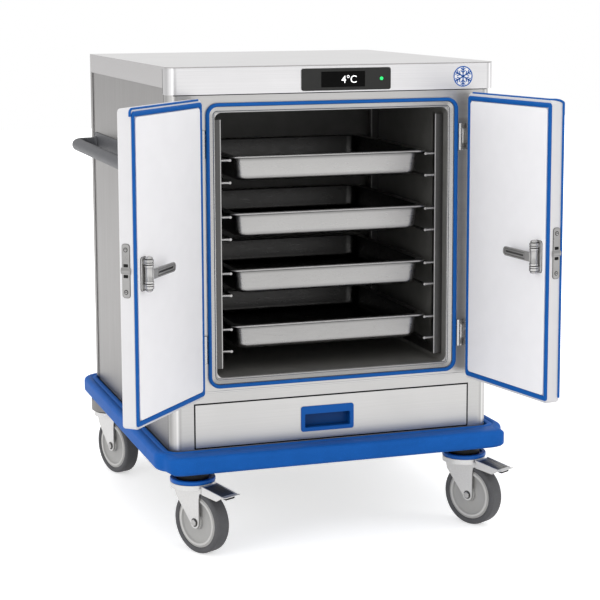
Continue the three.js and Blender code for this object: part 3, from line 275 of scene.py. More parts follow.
def fillet(before, corner, after, radius, steps):
    """The arc that rounds a corner and meets both legs squarely: middle + (sin((1 - t) w) start + sin(t
    w) end) / sin w, where w is the turn and start and end are the arc's own ends as seen from its
    middle."""
    one, two = unit(before - corner), unit(after - corner)
    half = math.acos(np.clip(one @ two, -1, 1)) / 2
    middle = corner + unit(one + two) * radius / math.sin(half)
    start = corner + one * radius / math.tan(half) - middle
    end = corner + two * radius / math.tan(half) - middle
    sweep = math.pi - 2 * half
    t = np.linspace(0, 1, steps + 1)[:, None]
    return middle + (np.sin((1 - t) * sweep) * start + np.sin(t * sweep) * end) / math.sin(sweep)


def bent(points, radius, steps=12):
    """A path through points whose inner corners are rounded."""
    points = np.asarray(points, float)
    arcs = [fillet(*corner, radius, steps) for corner in zip(points, points[1:], points[2:])]
    return np.concatenate([points[:1], *arcs, points[-1:]])


def filleted(corners, radii, steps=6):
    """A closed loop through corners, each rounded by its own radius, all in millimetres."""
    corners = np.asarray(corners, float) * MM
    before, after = np.roll(corners, 1, 0), np.roll(corners, -1, 0)
    rounds = zip(before, corners, after, radii)
    return np.concatenate([fillet(*three, radius * MM, steps) for *three, radius in rounds])


def tube(path, section):
    """A section of (side, up) points carried along a path: path + side (Z x tangent) + up (tangent x
    side)."""
    tangent = np.gradient(path, axis=0)
    tangent[1:-1] = unit(path[2:] - path[1:-1]) + unit(path[1:-1] - path[:-2])
    tangent = unit(tangent)
    side = unit(np.cross(Z, tangent))
    above = np.cross(tangent, side)
    points = path[:, None] + side[:, None] * section[None, :, :1] + above[:, None] * section[None, :, 1:]
    return grid(points)


def unit(vectors):
    return vectors / np.linalg.norm(vectors, axis=-1, keepdims=True)


def circle(radius, steps):
    """Points (r cos t, r sin t) round a full turn."""
    t = np.linspace(0, 2 * math.pi, steps, endpoint=False)
    return np.stack([radius * np.cos(t), radius * np.sin(t)], 1)


def moved(part, place):
    points, faces = part
    return place(points), faces


def points_of(mesh):
    """A mesh's vertices as rows of x, y and z."""
    flat = np.empty(len(mesh.vertices) * 3)
    mesh.vertices.foreach_get("co", flat)
    return flat.reshape(-1, 3)


# From arrays to pieces


def into_scene(name, data):
    """A new object in the scene, which holds a mesh, a lamp, a camera or text."""
    made = bpy.data.objects.new(name, data)
    bpy.context.scene.collection.objects.link(made)
    return made


def as_piece(name, parts, body, finish, replaces=(), crease=40.0, inside=None):
    """Makes one mesh object of several parts, each closed: doubles merged, faces outwards, smooth but for
    edges sharper than the crease, riding on its body. inside holds a value for each point, which a finish can
    read as painted shade."""
    vertices, faces, start = [], [], 0
    for points, part_faces in parts:
        vertices.append(points)
        faces.extend([[start + index for index in face] for face in part_faces])
        start += len(points)
    mesh = bpy.data.meshes.new(name)
    mesh.from_pydata(np.concatenate(vertices).tolist(), [], faces)
    if inside is not None:
        mesh.attributes.new("inside", "FLOAT", "POINT").data.foreach_set("value", np.asarray(inside, float))
    finished(name, mesh, body, finish, replaces, crease)


def finished(name, mesh, body, finish, replaces=(), crease=40.0, clean=True):
    """Closes a mesh's seams, turns its faces out, shades it smooth between creases, dresses it and hands it
    to its body."""
    if clean:
        shape = bmesh.new()
        shape.from_mesh(mesh)
        bmesh.ops.remove_doubles(shape, verts=shape.verts, dist=0.01 * MM)
        bmesh.ops.recalc_face_normals(shape, faces=shape.faces)
        shape.to_mesh(mesh)
        shape.free()
    mesh.shade_smooth()
    mesh.set_sharp_from_angle(angle=math.radians(crease))
    slot, material = FINISH[finish]
    mesh.materials.clear()
    mesh.materials.append(material)
    piece = into_scene(name, mesh)
    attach(piece, body)
    if replaces:
        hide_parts(*replaces)
    return piece


def softened(node, finish, edge, crease=38.0, segments=2):
    """A copy of a CAD node with its doubles merged, its flat faces made whole and its edges rounded
    over."""
    source = frame["nodes"][node]
    shape = bmesh.new()
    shape.from_mesh(source.data)
    bmesh.ops.remove_doubles(shape, verts=shape.verts, dist=0.005 * MM)
    bmesh.ops.dissolve_limit(shape, angle_limit=math.radians(0.5), verts=shape.verts, edges=shape.edges)
    bmesh.ops.recalc_face_normals(shape, faces=shape.faces)
    name = f"{node}_finished"
    mesh = bpy.data.meshes.new(name)
    shape.to_mesh(mesh)
    shape.free()
    piece = finished(name, mesh, source["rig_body"], finish, (node,), crease, clean=False)
    if edge:
        bevel = piece.modifiers.new("Edges", "BEVEL")
        bevel.width = edge
        bevel.segments = segments
        bevel.limit_method = "ANGLE"
        bevel.angle_limit = math.radians(crease)
        weighted = piece.modifiers.new("Flat faces", "WEIGHTED_NORMAL")
        weighted.keep_sharp = True


# Finishes


class Nodes:
    """A short way to wire a node tree. A source is a node and the name or number of one of its outputs."""

    def __init__(self, tree):
        self.tree = tree
        tree.nodes.clear()

    def add(self, kind, **settings):
        node = self.tree.nodes.new(kind)
        for name, value in settings.items():
            setattr(node, name, value)
        return node

    def link(self, source, output, target, socket):
        self.tree.links.new(source.outputs[output], target.inputs[socket])

    def maths(self, operation, *values):
        """One operation on sources and plain numbers."""
        node = self.add("ShaderNodeMath", operation=operation)
        for socket, value in enumerate(values):
            if isinstance(value, tuple):
                self.link(*value, node, socket)
            else:
                node.inputs[socket].default_value = value
        return node, 0

    def parts(self, source, output):
        """A vector's X, Y and Z."""
        node = self.add("ShaderNodeSeparateXYZ")
        self.link(source, output, node, "Vector")
        return node

    def seen(self):
        """1 for a ray from the camera, from a gloss or through glass, and 0 for the rest."""
        path = self.add("ShaderNodeLightPath")
        straight = self.maths("MAXIMUM", (path, "Is Camera Ray"), (path, "Is Glossy Ray"))
        return self.maths("MAXIMUM", straight, (path, "Is Transmission Ray"))


class Finish(Nodes):
    """The nodes of one material, round one principled shader."""

    # The sockets of a colour mix: two colours in, and one out
    first_in, second_in, mixed_out = 6, 7, 2

    def __init__(self, name):
        self.material = bpy.data.materials.new(name)
        self.material.use_nodes = True
        super().__init__(self.material.node_tree)
        self.shader = self.add("ShaderNodeBsdfPrincipled")
        self.output = self.add("ShaderNodeOutputMaterial")
        self.link(self.shader, "BSDF", self.output, "Surface")
        self.place = self.add("ShaderNodeTexCoord")

    def stretched(self, scale):
        """Object coordinates in metres, times a scale along each axis."""
        mapping = self.add("ShaderNodeMapping")
        mapping.inputs["Scale"].default_value = scale
        self.link(self.place, "Object", mapping, "Vector")
        return mapping

    def noise(self, scale, detail=2.0, roughness=0.6):
        """Noise over stretched object coordinates, about one lump a unit. One number scales all axes."""
        mapping = self.stretched(scale if isinstance(scale, tuple) else (scale,) * 3)
        texture = self.add("ShaderNodeTexNoise")
        texture.inputs["Scale"].default_value = 1.0
        texture.inputs["Detail"].default_value = detail
        texture.inputs["Roughness"].default_value = roughness
        self.link(mapping, "Vector", texture, "Vector")
        return texture, "Fac"

    def ranged(self, source, output, low_value, high_value, start=0.3, end=0.7):
        """A value between two others as the source runs from start to end."""
        node = self.add("ShaderNodeMapRange")
        node.inputs["From Min"].default_value = start
        node.inputs["From Max"].default_value = end
        node.inputs["To Min"].default_value = low_value
        node.inputs["To Max"].default_value = high_value
        self.link(source, output, node, "Value")
        return node, "Result"

    def mixed(self, source, output, second, first=None):
        """A mix node that reaches the second colour where the source is high."""
        node = self.add("ShaderNodeMix", data_type="RGBA")
        self.link(source, output, node, "Factor")
        if first is not None:
            node.inputs[self.first_in].default_value = (*first, 1)
        node.inputs[self.second_in].default_value = (*second, 1)
        return node

    def clouded(self, noise, base, dark, bright):
        """A colour that drifts with a noise between two shades of one base."""
        return self.mixed(*self.ranged(*noise, 0, 1), shade(base, bright), shade(base, dark))

    def layered(self, under, source, output, second):
        """A second colour laid over another where the source is high."""
        node = self.mixed(source, output, second)
        self.link(under, self.mixed_out, node, self.first_in)
        return node

    def banded(self, stops):
        """A value that follows how far the surface is turned from the front towards either side."""
        facing = self.parts(self.add("ShaderNodeNewGeometry"), "Normal")
        ramp = self.add("ShaderNodeValToRGB")
        elements = ramp.color_ramp.elements
        for spare, (place, _) in zip(elements, stops):
            spare.position = place
        for place, _ in stops[2:]:
            elements.new(place)
        for element, (_, value) in zip(elements, stops):
            element.color = (value, value, value, 1)
        self.link(*self.maths("ABSOLUTE", (facing, "X")), ramp, "Fac")
        return ramp, "Color"

    def marked(self):
        """The painted shade that a piece keeps with its own points, as a value for each."""
        return self.add("ShaderNodeAttribute", attribute_name="inside", attribute_type="GEOMETRY"), "Fac"

    def bump(self, noise, strength, depth):
        node = self.add("ShaderNodeBump")
        node.inputs["Strength"].default_value = strength
        node.inputs["Distance"].default_value = depth * MM
        self.link(*noise, node, "Height")
        self.link(node, "Normal", self.shader, "Normal")

    def done(self, colour_node, noise=None, smooth=0, rough=0, **settings):
        """Gives the shader its colour, a roughness that follows a noise, and plain settings."""
        self.link(colour_node, self.mixed_out, self.shader, "Base Color")
        if noise:
            self.link(*self.ranged(*noise, smooth, rough), self.shader, "Roughness")
        for name, value in settings.items():
            self.shader.inputs[name.replace("_", " ")].default_value = value
        return self.material


def shade(base, factor):
    return tuple(min(1.0, part * factor) for part in base)


def brushed_steel(name, base, grain, roughness=0.34, upright=None, corners=False):
    """Satin steel: fine streaks along the grain in colour, roughness and relief, under soft clouds a hand
    wide. Upright faces may take a darker colour of their own as painted shade, and rounded upright corners a
    painted reflection: a light band between two dark ones, where a studio would show in them."""
    m = Finish(name)
    streaks = m.noise(grain, roughness=0.5)
    tone = m.clouded(streaks, base, 0.95, 1.05)
    tone = m.layered(tone, *m.ranged(*m.noise(7), 0.0, 0.4, 0.35, 0.75), shade(base, 0.9))
    if upright is not None:
        # Painted shade: upright faces take the darker colour given for them
        facing = m.parts(m.add("ShaderNodeNewGeometry"), "Normal")
        tone = m.layered(tone, *m.ranged(facing, "Z", 1.0, 0.0, 0.3, 0.8), upright)
    # Painted reflection: at rounded upright corners, two dark bands with a light band between, by how far the
    # face turns from the front
    if corners:
        dark = m.banded(((0.12, 0), (0.3, 0.5), (0.42, 0), (0.7, 0), (0.9, 0.7)))
        tone = m.layered(tone, *dark, shade(base, 0.5))
        tone = m.layered(tone, *m.banded(((0.38, 0), (0.5, 1), (0.62, 0))), shade(base, 1.4))
    m.bump(streaks, 0.25, 0.02)
    return m.done(tone, streaks, roughness - 0.05, roughness + 0.07, Metallic=1.0)


def drawn_steel(name, base):
    """Deep-drawn satin steel: short level scuffs, and darkening from each pan's points: a painted reflection
    of the dark cavity inside, and painted shade at the foot and under the rim."""
    m = Finish(name)
    scuffs = m.noise((30, 240, 240), 3.0)
    tone = m.clouded(scuffs, base, 0.96, 1.04)
    tone = m.layered(tone, *m.ranged(*m.noise(9), 0.0, 0.3, 0.35, 0.75), shade(base, 0.88))
    m.bump(scuffs, 0.1, 0.01)
    # Painted shade and reflection: darkened where the pan's points ask
    return m.done(m.layered(tone, *m.marked(), shade(base, 0.2)), scuffs, 0.26, 0.34, Metallic=1.0)


def cast_metal(name, base, roughness, hollows=False, metallic=1.0):
    """Bright cast or plated metal: a fine pebbled skin under soft clouds, with painted shade in the hollows a
    piece marks."""
    m = Finish(name)
    clouds = m.noise(45)
    tone = m.clouded(clouds, base, 0.94, 1.04)
    if hollows:
        # Painted shade where the piece's points ask for it
        tone = m.layered(tone, *m.marked(), shade(base, 0.12))
    m.bump(m.noise(900), 0.3, 0.02)
    return m.done(tone, clouds, roughness - 0.03, roughness + 0.05, Metallic=metallic)


def rack_metal(name, base, middle, reach):
    """Bent rods, bright as far as a reach from the cabinet's middle, and darker beyond it, where the uprights
    stand: painted shade for the uprights by the cavity's dark walls."""
    m = Finish(name)
    pebbles = m.noise(900)
    # Painted shade: darker past the reach, on the uprights
    away = m.maths("SUBTRACT", (m.parts(m.place, "Object"), "X"), middle)
    beyond = m.ranged(*m.maths("ABSOLUTE", away), 0.0, 1.0, reach, reach + 0.5 * MM)
    tone = m.layered(m.clouded(pebbles, base, 0.94, 1.06), *beyond, shade(base, 0.22))
    return m.done(tone, pebbles, 0.26, 0.34, Metallic=1.0)


def moulded(name, base, roughness, speck, grain, relief, depth, specks=None, sheen=0.5):
    """Moulded plastic or rubber: a fine grain in the relief, faint clouds in the colour, and small
    specks."""
    m = Finish(name)
    pebbles = m.noise(grain)
    tone = m.clouded(m.noise(25, 3.0), base, 1 - speck, 1 + speck)
    if specks:
        tone = m.layered(tone, *m.ranged(*m.noise(grain / 2.2, 1.0), 0.0, 0.5, 0.6, 0.72), specks)
    m.bump(pebbles, relief, depth)
    return m.done(tone, pebbles, roughness - 0.04, roughness + 0.06, Specular_IOR_Level=sheen)


def pressed_zinc(name, base):
    """Plated steel sheet: faint spangle, a satin skin, and a painted shade line across the forks in the gap
    over the swivel heads."""
    m = Finish(name)
    spangle = m.noise(240)
    # Painted shade: a black line at the height of the gap over the swivel heads
    gap = m.ranged(m.parts(m.place, "Object"), "Z", 0.0, 1.0, 166.1 * MM, 166.4 * MM)
    m.bump(spangle, 0.15, 0.02)
    tone = m.layered(m.clouded(spangle, base, 0.95, 1.04), *gap, (0.01, 0.01, 0.01))
    return m.done(tone, spangle, 0.34, 0.44, Metallic=0.75)


def shaded_pocket(name, base, front):
    """Moulded plastic that darkens from 2 to 12 mm behind the front, for the shade in a deep cup."""
    m = Finish(name)
    pebbles = m.noise(1200)
    deep = m.ranged(m.parts(m.place, "Object"), "Y", 0.0, 0.8, front + 2 * MM, front + 12 * MM)
    tone = m.layered(m.clouded(pebbles, base, 0.96, 1.04), *deep, shade(base, 0.38))
    m.bump(pebbles, 0.2, 0.02)
    return m.done(tone, pebbles, 0.32, 0.42, Specular_IOR_Level=0.15)


def lit(name, base, strength):
    """A lit face: a dim plastic with its own light, a little uneven across."""
    m = Finish(name)
    tone = m.clouded(m.noise(400, 1.0), base, 0.9, 1.0)
    return m.done(tone, Roughness=0.3, Emission_Color=(*base, 1), Emission_Strength=strength)


def glassy(name, base):
    """Black glass: dark and smooth, with the faintest smear in its roughness."""
    m = Finish(name)
    smear = m.noise((30, 90, 30), 3.0)
    return m.done(m.clouded(smear, base, 1.0, 1.3), smear, 0.1, 0.2, Specular_IOR_Level=0.06)


# Each finish by name, with the slot that it fills
FINISH = {}


def make_finishes(c):
    """All finishes of the cart, from the user's colours."""
    level = (4, 900, 900)
    badge_white, pad_dark, gap_black = (0.86, 0.86, 0.87), (0.15, 0.15, 0.15), (0.012, 0.012, 0.012)
    pull_front, middle = low("drawer_pull")[1], cart_middle()[0]
    FINISH.update(
        # The frame and header steels carry the painted corner reflections
        front_steel=("steel", brushed_steel("front steel", c.steel, level, corners=True)),
        # Painted shade: the rolled lip inside the gasket gets a darker copy of the frame steel
        lip_steel=("steel", brushed_steel("lip steel", shade(c.steel, 0.75), level, 0.28)),
        header_steel=("steel", brushed_steel("header steel", c.header_steel, level, corners=True)),
        drawer_steel=("steel", brushed_steel("drawer steel", c.drawer_steel, level)),
        # Painted shade: the worktop's upright band gets a darker copy of the worktop steel
        top_steel=("steel", brushed_steel("top steel", c.top_steel, (4, 700, 700), 0.4, c.band_steel)),
        # Painted shade: the side and back sheets get the darker side steel
        side_steel=("side_steel", brushed_steel("side steel", c.side_steel, (900, 900, 4), 0.42)),
        pan_steel=("steel", drawn_steel("pan steel", c.pan_steel)),
        rack_steel=("steel", rack_metal("rack steel", c.pan_steel, middle, 267 * MM)),
        liner=("dark_liner", moulded("cavity liner", c.liner, 0.4, 0.1, 500, 0.1, 0.02)),
        foam=("foam", moulded("rigid foam", c.foam, 0.95, 0.1, 300, 0.8, 0.2)),
        blue_rubber=(
            "blue_rubber",
            moulded("blue rubber", c.blue_rubber, 0.5, 0.05, 900, 0.5, 0.06, shade(c.blue_rubber, 1.3), 0.05),
        ),
        gasket=("blue_rubber", moulded("blue gasket", c.gasket, 0.42, 0.04, 1500, 0.2, 0.02, sheen=0.1)),
        blue_plastic=(
            "blue_plastic",
            moulded("blue plastic", c.blue_plastic, 0.34, 0.04, 1200, 0.2, 0.02, sheen=0.2),
        ),
        pull=("blue_plastic", shaded_pocket("pull plastic", c.blue_plastic, pull_front)),
        white=("white_panel", moulded("door white", c.white, 0.4, 0.012, 700, 0.12, 0.03)),
        skin=("white_panel", moulded("door skin", c.skin, 0.4, 0.012, 700, 0.12, 0.03)),
        bezel=("dark_bezel", moulded("control bezel", c.bezel, 0.5, 0.1, 1400, 0.5, 0.05, sheen=0.3)),
        window=("black_window", glassy("display glass", c.window)),
        figures=("white_panel", lit("lit figures", c.figures, 0.9)),
        light=("green_light", lit("green lamp", c.light, 0.8)),
        cast=("cast_fittings", cast_metal("cast fittings", c.cast, 0.24, metallic=0.9)),
        # Painted shade in the latches' grooves and hollows
        latch=(
            "cast_fittings",
            cast_metal("latch metal", shade(c.cast, 1.15), 0.2, hollows=True, metallic=0.6),
        ),
        catch=("cast_fittings", cast_metal("catch plate metal", shade(c.cast, 0.66), 0.3, metallic=0.6)),
        zinc=("zinc_sheet", pressed_zinc("zinc plate", c.zinc)),
        dark_cast=("cast_fittings", cast_metal("dark cast fittings", shade(c.cast, 0.25), 0.4)),
        tyre=(
            "grey_tyre",
            moulded("tread rubber", c.tyre, 0.62, 0.08, 1100, 0.5, 0.06, shade(c.tyre, 1.5), 0.3),
        ),
        hub=("grey_hub", moulded("wheel hub", c.hub, 0.38, 0.03, 900, 0.2, 0.03)),
        # Painted highlight: a lighter copy of the hub colour for the raised ridge by the tyre
        hub_rim=("grey_hub", moulded("wheel hub rim", shade(c.hub, 1.5), 0.34, 0.03, 900, 0.2, 0.03)),
        handle=(
            "handle_grey",
            moulded("handle grip", c.handle, 0.55, 0.08, 1000, 0.6, 0.07, shade(c.handle, 1.6)),
        ),
        enamel=("black_enamel", moulded("black enamel", c.enamel, 0.3, 0.1, 900, 0.2, 0.03)),
        fins=("coil", brushed_steel("coil fins", c.fins, (900, 900, 20), 0.4)),
        badge_white=("white_panel", moulded("badge white", badge_white, 0.35, 0.01, 900, 0.1, 0.02)),
        dark_plate=("cast_fittings", cast_metal("dark pedal plate", pad_dark, 0.3)),
        # Black: painted shade in the header line, the drawer gap and the catch plates' slots and openings,
        # and the real black of the seams and the pedal tab
        shadow_gap=("dark_bezel", moulded("dark gap", gap_black, 0.8, 0.1, 700, 0.2, 0.03, sheen=0.1)),
    )


# Where the doors stand


def door_place(word):
    """The placing rule of a door: a runs from the hinge pin along the leaf, b up from the floor, and h
    from the outside face in. The pin and the opening angle come from the door's joint."""
    side = SIDES[word]
    joint = JOINTS[f"door_{word}_swing"]
    opened = math.radians(-joint["range_deg"][0])
    across = np.array([-side * math.cos(opened), -math.sin(opened), 0])
    out = np.array([-side * math.sin(opened), math.cos(opened), 0])
    return plane((*joint["pos_m"][:2], 0), across, Z, out)


# Operators, one for each piece or group of like pieces


class CartOperator:
    bl_options = {"REGISTER", "UNDO"}

    @property
    def sizes(self):
        return bpy.context.scene.cart_sizes


class CART_OT_stage(CartOperator, bpy.types.Operator):
    """Makes the floor, the world light, the lamps and the camera"""

    bl_idname = "cart.stage"
    bl_label = "Stage"

    # The camera in the cabinet's own millimetres, from the floor under the cabinet's middle
    camera_place = (-1323.9, -4190.7, 1301.1)
    turn, tilt, roll = 18.2, 8.3, -0.2
    focal_pixels, frame_pixels, shift = 1724.7, 600, 0.1
    sensor = 36.0
    soft_light, floor_glow, floor_half = 0.86, 0.54, 12.0
    aim = Vector((0, 0, 0.6))

    def execute(self, context):
        self.world(context)
        self.floor()
        self.lamps()
        self.camera(context)
        return {"FINISHED"}

    def world(self, context):
        """Soft light all round, and plain white to the camera and in reflections."""
        world = bpy.data.worlds.new("Studio")
        world.use_nodes = True
        m = Nodes(world.node_tree)
        mix = m.add("ShaderNodeMixShader")
        m.link(*m.seen(), mix, 0)
        for socket, strength in ((1, self.soft_light), (2, 1.0)):
            white = m.add("ShaderNodeBackground")
            white.inputs["Color"].default_value = (1, 1, 1, 1)
            white.inputs["Strength"].default_value = strength
            m.link(white, 0, mix, socket)
        m.link(mix, 0, m.add("ShaderNodeOutputWorld"), 0)
        context.scene.world = world

    def floor(self):
        """A wide floor that glows faintly to the camera and to reflections, so that its lit parts read
        white and keep the shadow. The glow rises to full white where no shadow falls, further out."""
        half = self.floor_half
        mesh = bpy.data.meshes.new("floor")
        corners = [(-half, -half, 0), (half, -half, 0), (half, half, 0), (-half, half, 0)]
        mesh.from_pydata(corners, [], [(0, 1, 2, 3)])
        m = Finish("floor")
        m.done(m.clouded(m.noise(1.5), (0.8, 0.8, 0.8), 1.0, 1.025), Roughness=0.7)
        near = m.add("ShaderNodeTexGradient", gradient_type="SPHERICAL")
        m.link(m.stretched((0.4, 0.4, 0.4)), "Vector", near, "Vector")
        glow, both = m.add("ShaderNodeEmission"), m.add("ShaderNodeAddShader")
        outward = m.ranged(near, "Fac", 1.0, self.floor_glow, 0.05, 0.35)
        m.link(*m.maths("MULTIPLY", m.seen(), outward), glow, "Strength")
        m.link(m.shader, "BSDF", both, 0)
        m.link(glow, "Emission", both, 1)
        m.link(both, "Shader", m.output, "Surface")
        mesh.materials.append(m.material)
        floor = into_scene("floor", mesh)

    def lamps(self):
        """A broad key from the right, a fill from the front left, a soft sheet of light above, and two
        slim strips that only show as gleams in rounded edges. The broad lamps don't show in
        reflections."""
        self.lamp("key", (4.2, -2.6, 2.6), (2.4, 2.4), 46, gloss=False)
        self.lamp("fill", (-4.6, -2.4, 1.9), (2.4, 2.4), 72, gloss=False)
        self.lamp("top", (0.2, 0.4, 4.2), (3.2, 3.2), 20, gloss=False)
        self.lamp("left strip", (-3.2, -4.6, 1.6), (0.4, 2.4), 5, diffuse=False)
        self.lamp("high strip", (0.4, -3.6, 3.2), (2.6, 0.3), 9, diffuse=False)

    def lamp(self, name, place, size, power, gloss=True, diffuse=True):
        data = bpy.data.lights.new(name, "AREA")
        data.shape = "RECTANGLE"
        data.size, data.size_y = size
        data.energy = power
        lamp = into_scene(name, data)
        lamp.location = place
        lamp.rotation_euler = (self.aim - Vector(place)).to_track_quat("-Z", "Y").to_euler()
        lamp.visible_glossy = gloss
        lamp.visible_diffuse = diffuse

    def camera(self, context):
        data = bpy.data.cameras.new("photo camera")
        data.sensor_width = self.sensor
        data.lens = self.focal_pixels / self.frame_pixels * self.sensor
        data.shift_y = -self.shift
        data.clip_end = 60.0
        camera = into_scene("photo camera", data)
        camera.location = cart_middle() + np.array(self.camera_place) * MM
        turn, tilt = math.radians(self.turn), math.radians(self.tilt)
        ahead = Vector((math.sin(turn) * math.cos(tilt), math.cos(turn) * math.cos(tilt), -math.sin(tilt)))
        camera.rotation_euler = ahead.to_track_quat("-Z", "Y").to_euler()
        camera.rotation_euler.rotate_axis("Z", math.radians(self.roll))
        context.scene.camera = camera
        context.scene.view_settings.view_transform = "Standard"


class CART_OT_cabinet(CartOperator, bpy.types.Operator):
    """Finishes the steel shell: worktop, header, frame, side and back sheets, with their folded edges
    rounded"""

    bl_idname = "cart.cabinet"
    bl_label = "Cabinet shell"

    seam_from_back, seam_from_post = 34 * MM, 1 * MM
    fold_half, fold_low, fold_high = 340 * MM, 374.5 * MM, 378.5 * MM
    gap_half, lip_width, lip_corner = 384 * MM, 8.4 * MM, 19.6 * MM

    def execute(self, context):
        s = self.sizes
        softened("worktop_cap", "top_steel", s.cap_edge)
        softened("header_panel", "header_steel", s.sheet_edge / 2)
        softened("front_frame", "front_steel", s.sheet_edge)
        for sheet in ("side_panel_left", "side_panel_right", "back_panel"):
            softened(sheet, "side_steel", s.sheet_edge / 2)
        softened("chassis", "side_steel", s.sheet_edge)
        self.cavity_lip()
        self.seams()
        return {"FINISHED"}

    def seams(self):
        """Dark folded seams: a line 1.4 mm wide where the band meets the header on each side, one near
        the back of each side sheet and one where the sheet meets the corner post, and a low fold across
        the front."""
        lines, width, proud = [], 0.7 * MM, 0.25 * MM
        cap, header, foot = ends("worktop_cap"), ends("header_panel"), high("bumper")[2]
        for word, side in SIDES.items():
            panel = lo, hi = ends(f"side_panel_{word}")
            far = (side + 1) // 2
            face, edge = panel[far][0], cap[far][0]
            uprights = [
                (edge, header[1][1], header[0][2] + 2 * MM, header[1][2] - 3 * MM),
                (face, hi[1] - self.seam_from_back, foot, hi[2]),
                (face, lo[1] + self.seam_from_post, foot, hi[2]),
            ]
            for x, y, bottom, top in uprights:
                outline = rounded_loop(y - width, y + width, bottom, top, width / 2, 2)
                line = slab(outline, -proud, proud, proud / 2, 2)
                lines.append(moved(line, plane((x, 0, 0), Y, Z, side * X)))
        as_piece("side_seams", lines, "cabinet", "shadow_gap")
        middle, half, reach = cart_middle()[0], self.fold_half, self.gap_half
        front = plane((0, low("front_frame")[1], 0), X, Z, -Y)
        fold = rounded_loop(middle - half, middle + half, self.fold_low, self.fold_high, 1.2 * MM, 4)
        part = moved(slab(fold, -0.6 * MM, 0.8 * MM, 0.7 * MM), front)
        as_piece("front_fold", [part], "cabinet", "drawer_steel")
        # Painted shadow: a black line under the header, where its overhang shades the frame
        under = header[0][2]
        line = rounded_loop(middle - reach, middle + reach, under - 2.6 * MM, under + 0.4 * MM, 0.6 * MM, 2)
        part = moved(slab(line, -0.4 * MM, 0.4 * MM, 0.2 * MM, 2), front)
        as_piece("header_gap", [part], "cabinet", "shadow_gap")

    def cavity_lip(self):
        """The rolled steel edge inside the gasket: a shallow slope carried round the opening, ending in a
        bead of radius 2.4 mm that turns into the cavity."""
        lo, hi = ends("frame_seal")
        plate = low("front_frame")[1] + 5 * MM
        width, corner = self.lip_width, self.lip_corner
        loop = rounded_loop(lo[0] + width, hi[0] - width, lo[2] + width, hi[2] - width, corner, 10)
        bead = arc((12.0, 1.2), 2.4, 120, -20, 8)
        slope = [(0, -0.2), (0, 3.2), (0.9, 3.9), (9.6, 1.8)]
        profile = np.concatenate([slope, bead, [(14.4, -7), (12.8, -7), (12.4, -0.2)]])
        place = plane((0, plate, 0), X, Z, -Y)
        part = moved(carried(loop, profile * MM, closed=True), place)
        # Its darker steel is painted shade
        as_piece("cavity_lip", [part], "cabinet", "lip_steel")


class CART_OT_gaskets(CartOperator, bpy.types.Operator):
    """Makes the crowned blue gaskets on the frame and on both doors, and the thin beads in the doors'
    edges"""

    bl_idname = "cart.gaskets"
    bl_label = "Gaskets"

    frame_width, frame_corner = 8 * MM, 28 * MM

    def execute(self, context):
        self.frame_gasket()
        for word in SIDES:
            self.door_gasket(word)
        return {"FINISHED"}

    def crown(self, width, proud):
        """A gasket's section: straight sides under an ellipse, height proud - bow + bow sin t across the
        width."""
        bow = min(self.sizes.gasket_bow, proud)
        t = np.linspace(math.pi, 0, 13)
        top = np.stack([width / 2 + width / 2 * np.cos(t), proud - bow + bow * np.sin(t)], 1)
        return np.concatenate([[(0, 0)], top, [(width, 0)]])

    def frame_gasket(self):
        lo, hi = ends("frame_seal")
        loop = rounded_loop(lo[0], hi[0], lo[2], hi[2], self.frame_corner, 12)
        section = self.crown(self.frame_width, hi[1] - lo[1])
        part = moved(carried(loop, section, closed=True), plane((0, hi[1], 0), X, Z, -Y))
        as_piece("frame_gasket", [part], "cabinet", "gasket", ("frame_seal",))

    def door_gasket(self, word):
        d = DoorSizes(word)
        loop = d.loop(d.gasket_inset, d.gasket_end_inset, d.pocket_corner)
        section = self.crown(d.gasket_width, d.proud - d.gap) + np.array([0, d.rim + d.gap])
        part = moved(carried(loop, section, closed=True), d.place)
        name, node = f"door_gasket_{word}", f"door_seal_{word}"
        as_piece(name, [part], f"door_{word}", "gasket", (node,))
        self.edge_bead(word, d)

    def edge_bead(self, word, d):
        """A thin blue bead half sunk in the door's edge. It runs along the top, and turns down at the
        free edge: on the left door it ends there, and on the right door it crosses to the outer side and
        goes on down. Its path is the leaf's outline by length u, at a depth that eases from one side to
        the other, 3 t t - 2 t t t, where t runs from 0 to 1 over the crossing."""
        crosses = word == "right"
        radius, proud, outer, start = 2.7 * MM, 0.9 * MM, -18 * MM, 14 * MM
        inner = 8.5 * MM if crosses else 10.2 * MM
        top, free = d.top + (proud if crosses else -0.6 * MM), d.free + proud
        stop = d.bottom + 12 * MM if crosses else d.top - 16 * MM
        outline = bent(np.array([(d.hinge + start, top), (free, top), (free, stop)]), d.corner)
        run = np.concatenate([[0], np.cumsum(np.linalg.norm(np.diff(outline, axis=0), axis=1))])
        bend = free - d.hinge - start
        u = np.unique(np.concatenate([run, np.linspace(bend - 30 * MM, min(bend + 15 * MM, run[-1]), 40)]))
        t = np.clip((u - bend + 16 * MM) / (20 * MM), 0, 1) if crosses else np.zeros(len(u))
        depth = inner + (outer - inner) * (3 * t**2 - 2 * t**3)
        path = np.stack([np.interp(u, run, outline[:, 0]), np.interp(u, run, outline[:, 1]), depth], 1)
        bead = moved(tube(path, circle(radius, 12)), d.place)
        name = f"door_edge_bead_{word}"
        as_piece(name, [bead], f"door_{word}", "gasket", crease=60.0)


